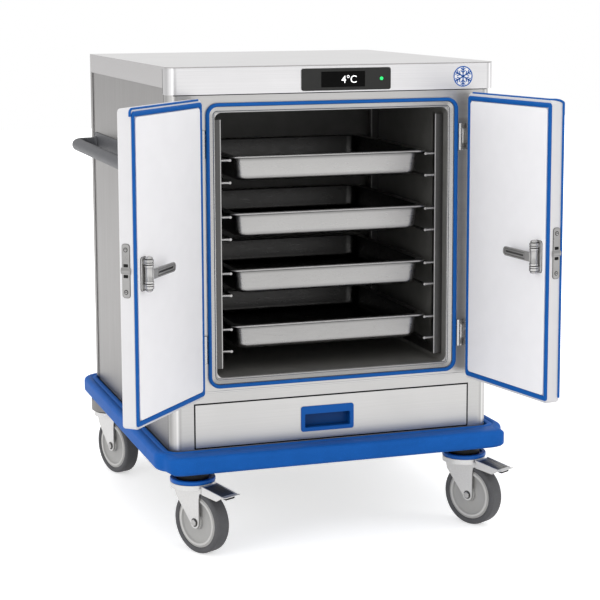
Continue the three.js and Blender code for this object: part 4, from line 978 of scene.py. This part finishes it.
class DoorSizes:
    """One door's sizes, measured from its hinge pin along the leaf, from the floor up, and from outside
    in."""

    hinge, free = 7 * MM, 327 * MM
    outside, rim = -22 * MM, 12 * MM
    corner, pocket_corner = 9 * MM, 8 * MM
    lip, end_lip = 13 * MM, 17.5 * MM
    sheet, gap = 3 * MM, 0.3 * MM
    proud = 4.2 * MM
    gasket_inset, gasket_end_inset, gasket_width = 1.2 * MM, 5.7 * MM, 11 * MM
    knuckle_inset = 101.5 * MM

    def __init__(self, word):
        self.place = door_place(word)
        self.bottom, self.top = low(f"door_shell_{word}")[2], high(f"door_shell_{word}")[2]
        origin = self.place((0, 0, 0))
        self.along, self.inside = self.place((1, 0, 0)) - origin, self.place((0, 0, 1)) - origin

    def loop(self, inset, end_inset, radius):
        """The leaf's outline drawn in by one inset at its sides and another at its ends."""
        low_end, high_end = self.bottom + end_inset, self.top - end_inset
        return rounded_loop(self.hinge + inset, self.free - inset, low_end, high_end, radius)


class CART_OT_doors(CartOperator, bpy.types.Operator):
    """Makes the two white doors: a pan-shaped shell with rounded edges, and the inner panel that stands
    in it"""

    bl_idname = "cart.doors"
    bl_label = "Doors"

    def execute(self, context):
        for word in SIDES:
            self.shell(word)
            self.panel(word)
            self.hinges(word)
        return {"FINISHED"}

    def shell(self, word):
        """The outline carried over: round outer edge, straight side, small inner edge, flat rim, and the
        pocket."""
        d = DoorSizes(word)
        edge, inner = self.sizes.door_edge, 1.6 * MM
        outline = d.loop(0, 0, d.corner)
        outer = arc((edge, d.outside + edge), edge, 270, 180, 6)
        inside = arc((inner, d.rim - inner), inner, 180, 90, 4)
        profile = np.concatenate([outer, inside])
        rows = [(outline + inset * inward(outline), height) for inset, height in profile]
        pocket = d.loop(d.lip, d.end_lip, d.pocket_corner)
        rows += [(pocket, d.rim), (pocket, d.outside + d.sheet)]
        part = moved(stacked(rows), d.place)
        name, node = f"door_skin_{word}", f"door_shell_{word}"
        as_piece(name, [part], f"door_{word}", "skin", (node,))

    def panel(self, word):
        d = DoorSizes(word)
        loop = d.loop(d.lip + d.gap, d.end_lip + d.gap, d.pocket_corner - d.gap)
        part = slab(loop, d.outside + d.sheet + d.gap, d.rim + d.proud, 1.2 * MM, lower_edge=0.2 * MM)
        name, node = f"door_liner_{word}", f"door_inner_panel_{word}"
        as_piece(name, [moved(part, d.place)], f"door_{word}", "white", (node,))

    def hinges(self, word):
        """The door's hinge knuckles: a barrel round the pin and the lug that joins it to the door's
        edge."""
        d = DoorSizes(word)
        half, radius, bore, lug, edge = 17 * MM, 6 * MM, 2.9 * MM, 5 * MM, 0.7 * MM
        parts = []
        for level in (d.bottom + d.knuckle_inset, d.top - d.knuckle_inset):
            low_end, high_end = level - half, level + half
            section = [(bore, low_end), (radius - edge, low_end), (radius, low_end + edge)]
            section += [(radius, high_end - edge), (radius - edge, high_end), (bore, high_end)]
            parts.append(moved(turned(section, 32), plane(d.place((0, 0, 0)), X, Y, Z)))
            box = rounded_loop(bore + 1.5 * MM, d.hinge + 3 * MM, low_end + edge, high_end - edge, edge, 2)
            parts.append(moved(slab(box, -lug, lug, edge, 2), d.place))
        as_piece(f"door_knuckles_{word}", parts, f"door_{word}", "cast")


class CART_OT_hardware(CartOperator, bpy.types.Operator):
    """Finishes the latches, catch plates and frame hinges, and adds their domes, screws and slots"""

    bl_idname = "cart.hardware"
    bl_label = "Latches and hinges"

    round_steps = 40
    plate, seat = centred(13, 36, 6), centred(13.9, 36.9, 6.8)
    opening, cross = centred(5.5, 3.4, 1.5, 4), centred(2.4, 0.8, 0.4, 2)

    def execute(self, context):
        edge = self.sizes.sheet_edge
        for word in SIDES:
            self.latch_base(word)
            self.latch_lever(word)
            softened(f"catch_plate_{word}", "catch", edge / 2, 50.0)
            for end in ("lower", "upper"):
                softened(f"frame_hinge_{end}_{word}", "cast", edge / 2, 50.0)
            self.catch_screws(word)
        return {"FINISHED"}

    def latch_base(self, word):
        """The plate, and above and below the barrel an ear: a grooved collar turned about the pin, its web
        down to the plate, and a domed cap whose rise is h sin t at radius r cos t. The third number of a
        point, here and in the lever, is how much painted shade it gets, most in the grooves and hollows."""
        d = DoorSizes(word)
        pin, _ = pivot(f"latch_{word}_turn")
        around = plane(pin, d.along, Z, d.inside)
        parts = [moved(slab(self.plate, -13 * MM, -10 * MM, 0.9 * MM), around)]
        hollows = [np.zeros(len(parts[0][0]))]
        collar = [(0, 20.6, 1), (9.2, 20.6, 1), (10.4, 21.6, 0), (10.4, 24.2, 0)]
        collar += [(10.2, 24.5, 1), (9.2, 24.8, 1), (9.2, 25.6, 1), (10.4, 26.2, 0)]
        collar += [(10.4, 30.4, 0), (9.8, 31.4, 0.2), (8.2, 31.6, 1), (8.2, 33.4, 1)]
        dome = [(8.2 * math.cos(t), 34 + 4.8 * math.sin(t), 0) for t in quarter(6)[:-1]] + [(0, 38.8, 0)]
        profile = np.array(collar + dome) * (MM, MM, 1)
        for way in (1, -1):
            part = turned(profile[:, :2], self.round_steps, closed=False)
            parts.append(moved(part, plane(pin, X, Y, way * Z)))
            hollows.append(np.repeat(profile[:, 2], self.round_steps))
            span = sorted((way * 21.2 * MM, way * 31.4 * MM))
            web = slab(rounded_loop(-9 * MM, 9 * MM, *span, 1.2 * MM, 3), -11 * MM, -0.5 * MM, 0.6 * MM, 2)
            parts.append(moved(web, around))
            hollows.append(np.full(len(web[0]), 0.45))
        post = [(0, -22), (3.9, -22), (3.9, 22), (0, 22)]
        parts.append(moved(turned(np.array(post) * MM, 24, closed=False), plane(pin, X, Y, Z)))
        hollows.append(np.zeros(len(parts[-1][0])))
        name, node, hollows = f"latch_fixing_{word}", f"latch_base_{word}", np.concatenate(hollows)
        as_piece(name, parts, f"door_{word}", "latch", (node,), 35.0, hollows)
        # Painted shade: a dark outline just wider than the plate, under its edge
        dark = moved(slab(self.seat, -13.4 * MM, -12.7 * MM, 0.2 * MM, 2), around)
        as_piece(f"latch_seat_{word}", [dark], f"door_{word}", "dark_cast")

    def latch_lever(self, word):
        """The lever: a waisted barrel turned about the pin, and a tapered arm built of stacked loops,
        whose raised border stands round a channel with a rounded slot along it."""
        d = DoorSizes(word)
        node = f"latch_lever_{word}"
        pin, _ = pivot(f"latch_{word}_turn")
        barrel = [(4.3, 20, 1), (9.0, 20, 1), (10.2, 18.8, 0)]
        barrel += [(10.2, 15.4, 0), (9.6, 15, 0.9), (9.2, 14, 0.2)]
        barrel += [(radius, -height, hollow) for radius, height, hollow in reversed(barrel)]
        barrel = np.array(barrel) * (MM, MM, 1)
        parts = [moved(turned(barrel[:, :2], self.round_steps), plane(pin, X, Y, Z))]
        outer = filleted([(2, -11), (104, -8.5), (104, 12.5), (2, 11)], (1.5, 9.5, 9.5, 1.5))
        channel = filleted([(21, -7.6), (100.4, -5.3), (100.4, 9.3), (21, 7.8)], (2.5, 6.5, 6.5, 2.5))
        slot = filleted([(28, -2), (96.4, -0.2), (96.4, 4.2), (28, 2.2)], (1.8, 2, 2, 1.8))
        edge = 0.8 * MM
        rows = [
            (outer + edge * inward(outer), 4.5 * MM),
            (outer, 4.5 * MM + edge),
            (outer, 9.5 * MM - edge),
            (outer + edge * inward(outer), 9.5 * MM),
            (channel, 9.5 * MM),
            (channel + 0.5 * MM * inward(channel), 7.6 * MM),
            (channel + 1.6 * MM * inward(channel), 7.6 * MM),
            (slot - 0.8 * MM * inward(slot), 8.0 * MM),
            (slot, 7.9 * MM),
            (slot + 0.3 * MM * inward(slot), 5.6 * MM),
        ]
        parts.append(moved(stacked(rows), plane(pin, -d.along, Z, d.inside)))
        # Painted shade along the arm's rows: most in the channel and the slot
        arm = np.repeat([0.3, 0.2, 0, 0, 0.1, 0.9, 0.35, 0.1, 0.3, 0.9], len(outer))
        hollows = np.concatenate([np.repeat(barrel[:, 2], self.round_steps), arm])
        as_piece(f"latch_handle_{word}", parts, body_of(node), "latch", (node,), 35.0, hollows)

    def catch_screws(self, word):
        """Two pan-head screws and two openings above and below the roller on each catch plate, with painted
        shade: a dark outline round the plate, black rings round the screw heads, black cross slots and black
        openings.
        """
        d = DoorSizes(word)
        lo, hi = ends(f"catch_plate_{word}")
        middle, half = (lo[2] + hi[2]) / 2, (hi[2] - lo[2]) / 2
        depth, face, margin = (d.rim + d.outside) / 2, d.free + 1.8 * MM, 0.9 * MM
        # Painted shade: a dark outline just wider than the catch plate, round its edge
        seat = rounded_loop(-9.9 * MM, 9.9 * MM, lo[2] - margin, hi[2] + margin, 6.8 * MM, 6)
        edge_on = plane(d.place((d.free, 0, depth)), d.inside, Z, d.along)
        dark = moved(slab(seat, -0.2 * MM, 0.7 * MM, 0.2 * MM, 2), edge_on)
        as_piece(f"catch_seat_{word}", [dark], f"door_{word}", "dark_cast")
        head = np.array([(0, -0.6), (3.4, -0.6), (3.4, 0.3), (2.4, 0.9), (0, 1.1)]) * MM
        sunk = np.array([(0, -0.6), (5.0, -0.6), (5.0, 0.1), (0, 0.1)]) * MM
        heads, slots = [], []
        for way in (1, -1):
            screw = plane(d.place((face, middle + way * (half - 12 * MM), depth)), d.inside, Z, d.along)
            hole = plane(d.place((face, middle + way * 11.5 * MM, depth)), d.inside, Z, d.along)
            heads.append(moved(turned(head, 24, closed=False), screw))
            # Painted shade: black rings round the heads, black cross slots and black openings
            slots.append(moved(turned(sunk, 24, closed=False), screw))
            slots.append(moved(slab(self.cross, 0.8 * MM, 1.3 * MM, 0.1 * MM, 1), screw))
            slots.append(moved(slab(self.opening, -0.4 * MM, 0.25 * MM, 0.1 * MM, 2), hole))
        as_piece(f"catch_screws_{word}", heads, f"door_{word}", "cast")
        as_piece(f"catch_slots_{word}", slots, f"door_{word}", "shadow_gap")


class CART_OT_cavity(CartOperator, bpy.types.Operator):
    """Finishes the dark liner, the pan racks and the four drawn pans"""

    bl_idname = "cart.cavity"
    bl_label = "Cavity and pans"

    foot, draft, roll, rim_corner, wall_corner = 14 * MM, 4 * MM, 3 * MM, 26 * MM, 24 * MM
    rim_depth = 6 * MM

    def execute(self, context):
        softened("cavity_liner", "liner", 0)
        softened("wall_insulation", "foam", 0)
        for word in SIDES:
            softened(f"pan_rack_{word}", "rack_steel", 0.5 * MM, 50.0)
        for number in range(1, 5):
            self.pan(number)
        return {"FINISHED"}

    def pan(self, number):
        """A drawn pan: rounded rectangles stacked along one profile, which goes from the foot's radius up
        the drafted wall, out under the rolled rim, over it and down inside. The corner radius eases to
        the rim's."""
        node = f"pan_{number}"
        lo, hi = ends(node)
        wall, rim = self.sizes.pan_sheet, self.sizes.pan_rim
        top, floor = hi[2], lo[2]
        foot, roll, under = self.foot, self.roll, top - self.rim_depth
        base = rim + self.draft
        outside = arc((base + foot, floor + foot), foot, 270, 180, 6)
        shoulder = arc((rim - 2 * MM, under - 1.6 * MM), 2 * MM, 0, 90, 4)
        bead = arc((roll, top - roll), roll, 250, 90, 8)
        inner_edge = arc((rim - 2.4 * MM + wall, top - 3.4 * MM), 3 * MM, 80, 10, 4)
        inside = arc((base + wall + foot, floor + wall + foot), foot, 180, 270, 6)
        below_rim = [(rim + 0.6 * MM, under - 8 * MM)]
        profile = np.concatenate([outside, below_rim, shoulder, bead, inner_edge, inside])
        share = np.clip((rim - profile[:, 0]) / rim, 0, 1)
        corner = self.wall_corner + (self.rim_corner - self.wall_corner) * share
        rows = [
            (rounded_loop(lo[0] + a, hi[0] - a, lo[1] + a, hi[1] - a, radius, 12), height)
            for (a, height), radius in zip(profile, corner)
        ]
        # Painted shade and reflection for each loop: painted shade at the foot easing to a bright wall,
        # painted shade under the rim, the bright rim, and a painted reflection of the dark cavity inside
        front = [*np.linspace(0.4, 0, 7), 0.1, *np.linspace(0.65, 0.9, 5)]
        tones = [front, np.full(3, 0.8), np.zeros(9), np.ones(9)]
        tones = np.repeat(np.concatenate(tones), len(rows[0][0]))
        as_piece(f"{node}_drawn", [stacked(rows)], f"shelf_{node}", "pan_steel", (node,), 60.0, tones)


class CART_OT_drawer(CartOperator, bpy.types.Operator):
    """Finishes the drawer and its runners, and makes the blue cup pull"""

    bl_idname = "cart.drawer"
    bl_label = "Drawer"

    front_half, gap = 341.4 * MM, 2.6 * MM

    def execute(self, context):
        softened("drawer", "drawer_steel", self.sizes.sheet_edge)
        for word in SIDES:
            softened(f"drawer_runner_{word}", "side_steel", 0.4 * MM)
        softened("drawer_pull", "pull", 1.2 * MM, segments=3)
        self.dark_gap()
        return {"FINISHED"}

    def dark_gap(self):
        """Painted shade: thin black linings in the gap round the drawer's front, one on the opening and one
        on the drawer, each a flat closed section carried round its outline."""
        lo, hi = ends("drawer")
        middle, half = cart_middle()[0], self.front_half
        place = plane((0, lo[1], 0), X, Z, Y)
        front = rounded_loop(middle - half, middle + half, lo[2], hi[2], 0.6 * MM, 2)
        opening = front - self.gap * inward(front)
        outline = np.array([(-0.1, 1), (1.2, 1), (1.2, 9), (-0.1, 9)]) * MM
        lining = moved(carried(opening, outline, closed=True), place)
        as_piece("drawer_opening_lining", [lining], "cabinet", "shadow_gap")
        edge = np.array([(-0.5, -0.15), (0.8, -0.15), (0.8, 9), (-0.5, 9)]) * MM
        lining = moved(carried(front, edge, closed=True), place)
        as_piece("drawer_edge_lining", [lining], body_of("drawer"), "shadow_gap")


class CART_OT_bumper(CartOperator, bpy.types.Operator):
    """Makes the blue bumper rail that runs right round the foot of the cabinet"""

    bl_idname = "cart.bumper"
    bl_label = "Bumper"

    corner, ridge_width = 58 * MM, 13 * MM
    side_clearance, front_clearance = 3.4 * MM, 0.6 * MM
    outer_width, unmoved_width = 14 * MM, 32 * MM

    def execute(self, context):
        """One closed profile carried round: round lower and upper edges, a flat top, a groove, and an
        inner ridge."""
        s = self.sizes
        lo, hi = ends("bumper")
        r, groove = s.bumper_round, s.bumper_groove
        bottom, top = lo[2], hi[2]
        loop = rounded_loop(lo[0], hi[0], lo[1], hi[1], self.corner, 14)
        side_width = low("side_panel_left")[0] - lo[0] - self.side_clearance
        front_width = low("front_frame")[1] - lo[1] - self.front_clearance
        lower = arc((r, bottom + r), r, 270, 180, 6)
        upper = arc((r, top - r), r, 180, 90, 6)
        ridge = side_width - self.ridge_width
        step = [
            (ridge - 4.6 * MM, top),
            (ridge - 3.2 * MM, top - groove * 0.6),
            (ridge - 1.6 * MM, top - groove),
            (ridge, top - groove * 0.6),
            (ridge + 1.4 * MM, top - 0.4 * MM),
        ]
        ledge = [(side_width - 2.2 * MM, top - 0.4 * MM), (side_width, top - 2.6 * MM), (side_width, bottom)]
        points, faces = carried(loop, np.concatenate([lower, upper, step, ledge]), closed=True)
        part = self.deepen_front(points, lo, hi, side_width, front_width), faces
        as_piece("bumper_rail", [part], "cabinet", "blue_rubber", ("bumper",), 60.0)
        return {"FINISHED"}

    def deepen_front(self, points, lo, hi, side_width, front_width):
        """The rail is deeper at the front than at the sides, so its inner part is moved back there by the
        spare depth. A point in the front quarter moves by a share of it, which grows with its inset from
        the rail's front edge."""
        spare = front_width - side_width
        inset = points[:, 1] - lo[1]
        past = np.clip((inset - self.outer_width) / (side_width - self.unmoved_width), 0, 1)
        ahead = points[:, 1] < lo[1] + (hi[1] - lo[1]) / 4
        return points + np.where(ahead, spare * past, 0)[:, None] * Y


class CART_OT_handle(CartOperator, bpy.types.Operator):
    """Makes the dark push handle on the cabinet's left side, with its ferrules and backing plate"""

    bl_idname = "cart.handle"
    bl_label = "Push handle"

    bend, plate, margin = 34 * MM, 3 * MM, 26 * MM

    def execute(self, context):
        lo, hi = ends("push_handle")
        radius, margin = self.sizes.handle_radius, self.margin
        level, wall, bar = (lo[2] + hi[2]) / 2, hi[0], lo[0] + radius
        front, back = lo[1] + margin, hi[1] - margin
        face = wall - self.plate
        root = face + 0.5 * MM
        legs = [(root, back, level), (bar, back, level), (bar, front, level), (root, front, level)]
        parts = [tube(bent(legs, self.bend), circle(radius, 32))]
        for y in (front, back):
            collar = np.array([(0, 0), (2.2, 0), (2.8, 0.8), (1.2, 7), (0, 7.6)]) * MM + (radius, 0)
            parts.append(moved(turned(collar, 40), plane((face, y, level), Y, Z, -X)))
        loop = rounded_loop(front - margin, back + margin, lo[2], hi[2], margin / 2, 8)
        parts.append(moved(slab(loop, 0, self.plate, 1.0 * MM), plane((wall, 0, 0), Y, Z, -X)))
        as_piece("handle_bar", parts, "cabinet", "handle", ("push_handle",), 50.0)
        return {"FINISHED"}


class CART_OT_casters(CartOperator, bpy.types.Operator):
    """Makes the wheels, tyres and swivel collars, and finishes the forks and brake pedals"""

    bl_idname = "cart.casters"
    bl_label = "Casters"

    radius, width, tyre_depth, well = 75 * MM, 39 * MM, 14 * MM, 38.3 * MM
    axle_reach = 12 * MM
    # The top of a pedal, in millimetres: its run and fall, and its start above and behind the pin
    pedal_run, pedal_fall, pedal_lift, pedal_back = 70, 11, 8, 11

    def execute(self, context):
        for corner in CORNERS:
            self.wheel(corner)
            softened(f"caster_fork_{corner}", "zinc", 0.8 * MM, 50.0, segments=3)
            self.axle_nuts(corner)
            if corner.startswith("front"):
                self.collar(corner)
                self.pedal(corner)
        return {"FINISHED"}

    def wheel(self, corner):
        """Hub and tyre are closed profiles of (radius, half width) turned about the axle, mirrored across
        it. The boss is measured from the axle, and the web and the ridge from the tyre."""
        centre, across = pivot(f"wheel_{corner}_roll")
        place = plane(centre, Z, np.cross(across, Z), across)
        half, rim = self.width / 2, self.radius - self.tyre_depth
        round_over = self.sizes.tread_round
        shoulder = arc((self.radius - round_over, half - round_over), round_over, 90, 0, 8)
        tread = np.concatenate([[(rim, half - 2.4 * MM), (rim + 2.5 * MM, half - 0.8 * MM)], shoulder])
        tyre = np.concatenate([tread, (tread * (1, -1))[::-1]])
        tread, body = [moved(turned(tyre, 96), place)], f"wheel_{corner}"
        as_piece(f"tread_{corner}", tread, body, "tyre", (f"tyre_{corner}",), 60.0)
        outer = rim - 0.3 * MM
        full, tip = half / MM, outer / MM
        boss = [(6.4, 0), (15.5, 0), (16.8, -1), (17.6, -7.2), (22, -8.4)]
        web = [(-17, -7.4), (-12.6, -5.6), (-11.6, -4.2), (-10.4, -2.2), (-8.8, -1.3)]
        web += [(-5.6, -1.6), (-4.6, -2.6), (-1.4, -2.4), (0, -3.2)]
        face = np.concatenate([np.array(boss) + (0, full), np.array(web) + (tip, full)]) * MM
        hub = np.concatenate([face, (face * (1, -1))[::-1]])
        disc = [moved(turned(hub, 96), place)]
        as_piece(f"disc_{corner}", disc, body, "hub", (f"wheel_hub_{corner}",), 30.0)
        # Painted highlight: the ridge takes the lighter hub colour
        ridge = [(-10.2, -3), (-9.8, -1.4), (-9, -0.9), (-5.4, -1.1), (-4.8, -1.8), (-4.6, -3)]
        ridge = (np.array(ridge) + (tip, full)) * MM
        rims = [moved(turned(ridge * (1, way), 96), place) for way in (1, -1)]
        as_piece(f"disc_rim_{corner}", rims, body, "hub_rim", (), 30.0)

    def axle_nuts(self, corner):
        """On each end of the axle a dark washer and a six-sided nut with a turned shoulder."""
        node = f"caster_fork_{corner}"
        fork, body = frame["nodes"][node].data, body_of(node)
        centre, across = pivot(f"wheel_{corner}_roll")
        beside = points_of(fork) - centre
        near = np.linalg.norm(beside - (beside @ across)[:, None] * across, axis=1) < self.axle_reach
        face = np.abs(beside[near] @ across).max()
        hexagon = circle(8.2 * MM, 6)
        nuts, washers = [], []
        for way in (1, -1):
            place = plane(centre, Z, np.cross(way * across, Z), way * across)
            nuts.append(moved(slab(hexagon, face - 3 * MM, face + 1.2 * MM, 1.0 * MM, 3), place))
            ring = np.array([(6, -4.4), (10.4, -4.4), (10.4, -2.6), (6, -2.6)]) * MM + (0, face)
            washers.append(moved(turned(ring, 40), place))
        as_piece(f"axle_nuts_{corner}", nuts, body, "cast", (), 30.0)
        as_piece(f"axle_washers_{corner}", washers, body, "dark_cast")

    def collar(self, corner):
        """The blue dust collar: a rounded ring turned about the swivel, with a dark well inside it."""
        lo, hi = ends(f"caster_collar_{corner}")
        outer = (hi[0] - lo[0]) / 2
        place = plane(pivot(f"swivel_{corner}_turn")[0] * (1, 1, 0), X, Y, Z)
        inner, edge = self.well, 2.6 * MM
        profile = np.concatenate([
            [(inner, lo[2])],
            arc((outer - edge, lo[2] + edge), edge, 270, 360, 5),
            arc((outer - edge, hi[2] - edge), edge, 0, 90, 5),
            np.array([(6, -0.6), (4.5, -4), (0, -4)]) * MM + (inner, hi[2]),
        ])
        ring, node = [moved(turned(profile, 72), place)], f"caster_collar_{corner}"
        as_piece(f"dust_collar_{corner}", ring, "cabinet", "blue_plastic", (node,))

    def pedal(self, corner):
        """The pressed pedal, a dark ribbed pad along its top and the black tab under its toe."""
        softened(f"brake_pedal_{corner}", "zinc", 0.7 * MM, 40.0, segments=3)
        body = body_of(f"brake_pedal_{corner}")
        pin, across = pivot(f"pedal_{corner}_press")
        ahead = np.cross(across, Z)
        slope = unit(self.pedal_run * ahead - self.pedal_fall * Z)
        out = np.cross(slope, across) * math.copysign(1, np.cross(slope, across)[2])
        start = pin + (self.pedal_lift * Z - self.pedal_back * ahead) * MM
        top = plane(start, slope, across, out)
        pad = filleted([(5, -20), (66, -20), (66, 20), (5, 20)], (3,) * 4)
        parts = [moved(slab(pad, -0.2 * MM, 0.5 * MM, 0.3 * MM, 2), top)]
        for along in np.arange(12, 64, 6.5):
            end = along + 2.6
            rib = filleted([(along, -17), (end, -17), (end, 17), (along, 17)], (1,) * 4, 3)
            parts.append(moved(slab(rib, 0.3 * MM, 1.1 * MM, 0.4 * MM, 2), top))
        as_piece(f"pedal_pad_{corner}", parts, body, "dark_plate")
        tab = filleted([(58, -15), (74, -15), (74, 15), (58, 15)], (3,) * 4)
        part = moved(slab(tab, -8 * MM, -2.2 * MM, 1.5 * MM, 3), top)
        as_piece(f"pedal_tab_{corner}", [part], body, "shadow_gap")


class CART_OT_controls(CartOperator, bpy.types.Operator):
    """Makes the control bezel with its display and lamp, and the snowflake badge"""

    bl_idname = "cart.controls"
    bl_label = "Controls and badge"

    figures_share = 0.635
    badge_from_middle, badge_height = 317.3 * MM, 1094.6 * MM
    barbs = ((0.42, 0.34), (0.7, 0.3))

    def execute(self, context):
        softened("control_bezel", "bezel", 0.5 * MM)
        softened("display_window", "window", 0.2 * MM)
        self.lamp()
        self.figures()
        self.badge()
        return {"FINISHED"}

    def lamp(self):
        """A small dome: a quarter ellipse turned about its own axis."""
        lo, hi = ends("status_light")
        radius = (hi[0] - lo[0]) / 2
        centre = ((lo[0] + hi[0]) / 2, hi[1], (lo[2] + hi[2]) / 2)
        proud = hi[1] - lo[1]
        dome = [(radius * math.cos(t), proud - 1.4 * MM + 1.4 * MM * math.sin(t)) for t in quarter(8)]
        dome[-1] = (0, proud)
        part = moved(turned([(0, 0), (radius, 0), *dome], 32, closed=False), plane(centre, X, Z, -Y))
        as_piece("status_lamp", [part], "cabinet", "light", ("status_light",))

    def figures(self):
        """The display's temperature as thin raised letters just in front of the glass."""
        lo, hi = ends("display_window")
        text = bpy.data.curves.new("display_figures", "FONT")
        text.body = "4°C"
        text.size = 24 * MM
        text.extrude = 0.1 * MM
        text.align_x = "CENTER"
        text.align_y = "CENTER"
        holder = into_scene("figures_outline", text)
        bpy.context.view_layer.update()
        mesh = bpy.data.meshes.new_from_object(holder.evaluated_get(bpy.context.evaluated_depsgraph_get()))
        bpy.data.objects.remove(holder)
        points = points_of(mesh)
        middle = (points.min(0) + points.max(0)) / 2
        across = lo[0] + (hi[0] - lo[0]) * self.figures_share
        place = plane((across, lo[1] - 0.15 * MM, (lo[2] + hi[2]) / 2), X, Z, -Y)
        mesh.vertices.foreach_set("co", place(points - middle).ravel())
        finished("display_figures", mesh, "cabinet", "figures")

    def badge(self):
        """A white disc in a blue ring with a six-armed snowflake: each arm is a bar with two pairs of
        barbs."""
        across = cart_middle()[0] + self.badge_from_middle
        place = plane((across, low("header_panel")[1], self.badge_height), X, Z, -Y)
        radius = self.sizes.badge_radius
        rounded = radius - 0.3 * MM
        disc = [(0, -0.2 * MM), (radius, -0.2 * MM), (radius, 0.3 * MM), (rounded, 0.5 * MM), (0, 0.5 * MM)]
        disc = [moved(turned(disc, 64, closed=False), place)]
        as_piece("badge_disc", disc, "cabinet", "badge_white")
        ring = np.array([(-2.5, 0.4), (-0.1, 0.4), (-0.1, 0.9), (-2.5, 0.9)]) * MM + (radius, 0)
        parts = [moved(turned(ring, 64), place)]
        reach, width = radius - 3.0 * MM, 2.8 * MM
        for number in range(6):
            heading = math.radians(90 + 60 * number)
            parts.append(moved(self.bar((0, 0), heading, reach, width), place))
            for share, size in self.barbs:
                root = (share * reach * math.cos(heading), share * reach * math.sin(heading))
                for turn in (-50, 50):
                    barb = self.bar(root, heading + math.radians(turn), size * reach, width * 0.8)
                    parts.append(moved(barb, place))
        as_piece("badge_snowflake", parts, "cabinet", "blue_plastic")

    def bar(self, root, heading, reach, width):
        """A round-ended bar from a root point along a heading."""
        along, half = np.array([math.cos(heading), math.sin(heading)]), width / 2
        side = np.array([-along[1], along[0]])
        turn = np.radians(np.linspace(-90, 90, 7))
        bow = half * (np.cos(turn)[:, None] * along + np.sin(turn)[:, None] * side)
        outline = np.concatenate([root + along * reach + bow, root - bow])
        return slab(outline, 0.45 * MM, 0.9 * MM, 0.1 * MM, 1)


class CART_OT_cooling(CartOperator, bpy.types.Operator):
    """Finishes the compressor, the coil and its fan behind the rear slots"""

    bl_idname = "cart.cooling"
    bl_label = "Cooling unit"

    def execute(self, context):
        softened("compressor", "enamel", 2 * MM, 50.0, segments=3)
        softened("condenser_coil", "fins", 0)
        softened("fan_rotor", "enamel", 0.5 * MM, 50.0)
        return {"FINISHED"}


class CART_PT_panel(bpy.types.Panel):
    """Lists the cart's pieces and its sizes and colours"""

    bl_label = "Cold chain cart"
    bl_idname = "CART_PT_panel"
    bl_space_type = "VIEW_3D"
    bl_region_type = "UI"
    bl_category = "Cart"

    def draw(self, context):
        for operator in OPERATORS:
            self.layout.operator(operator.bl_idname)
        for group in (context.scene.cart_sizes, context.scene.cart_finishes):
            box = self.layout.box()
            for name in group.bl_rna.properties.keys():
                if name not in ("rna_type", "name"):
                    box.prop(group, name)


OPERATORS = (
    CART_OT_stage,
    CART_OT_cabinet,
    CART_OT_gaskets,
    CART_OT_doors,
    CART_OT_hardware,
    CART_OT_cavity,
    CART_OT_drawer,
    CART_OT_bumper,
    CART_OT_handle,
    CART_OT_casters,
    CART_OT_controls,
    CART_OT_cooling,
)
CLASSES = (CartSizes, CartFinishes, *OPERATORS, CART_PT_panel)


def register():
    for each in CLASSES:
        bpy.utils.register_class(each)
    bpy.types.Scene.cart_sizes = bpy.props.PointerProperty(type=CartSizes)
    bpy.types.Scene.cart_finishes = bpy.props.PointerProperty(type=CartFinishes)


def unregister():
    del bpy.types.Scene.cart_finishes
    del bpy.types.Scene.cart_sizes
    for each in reversed(CLASSES):
        bpy.utils.unregister_class(each)


def main():
    register()
    make_finishes(bpy.context.scene.cart_finishes)
    for operator in OPERATORS:
        group, name = operator.bl_idname.split(".")
        getattr(getattr(bpy.ops, group), name)()


if __name__ == "__main__":
    main()
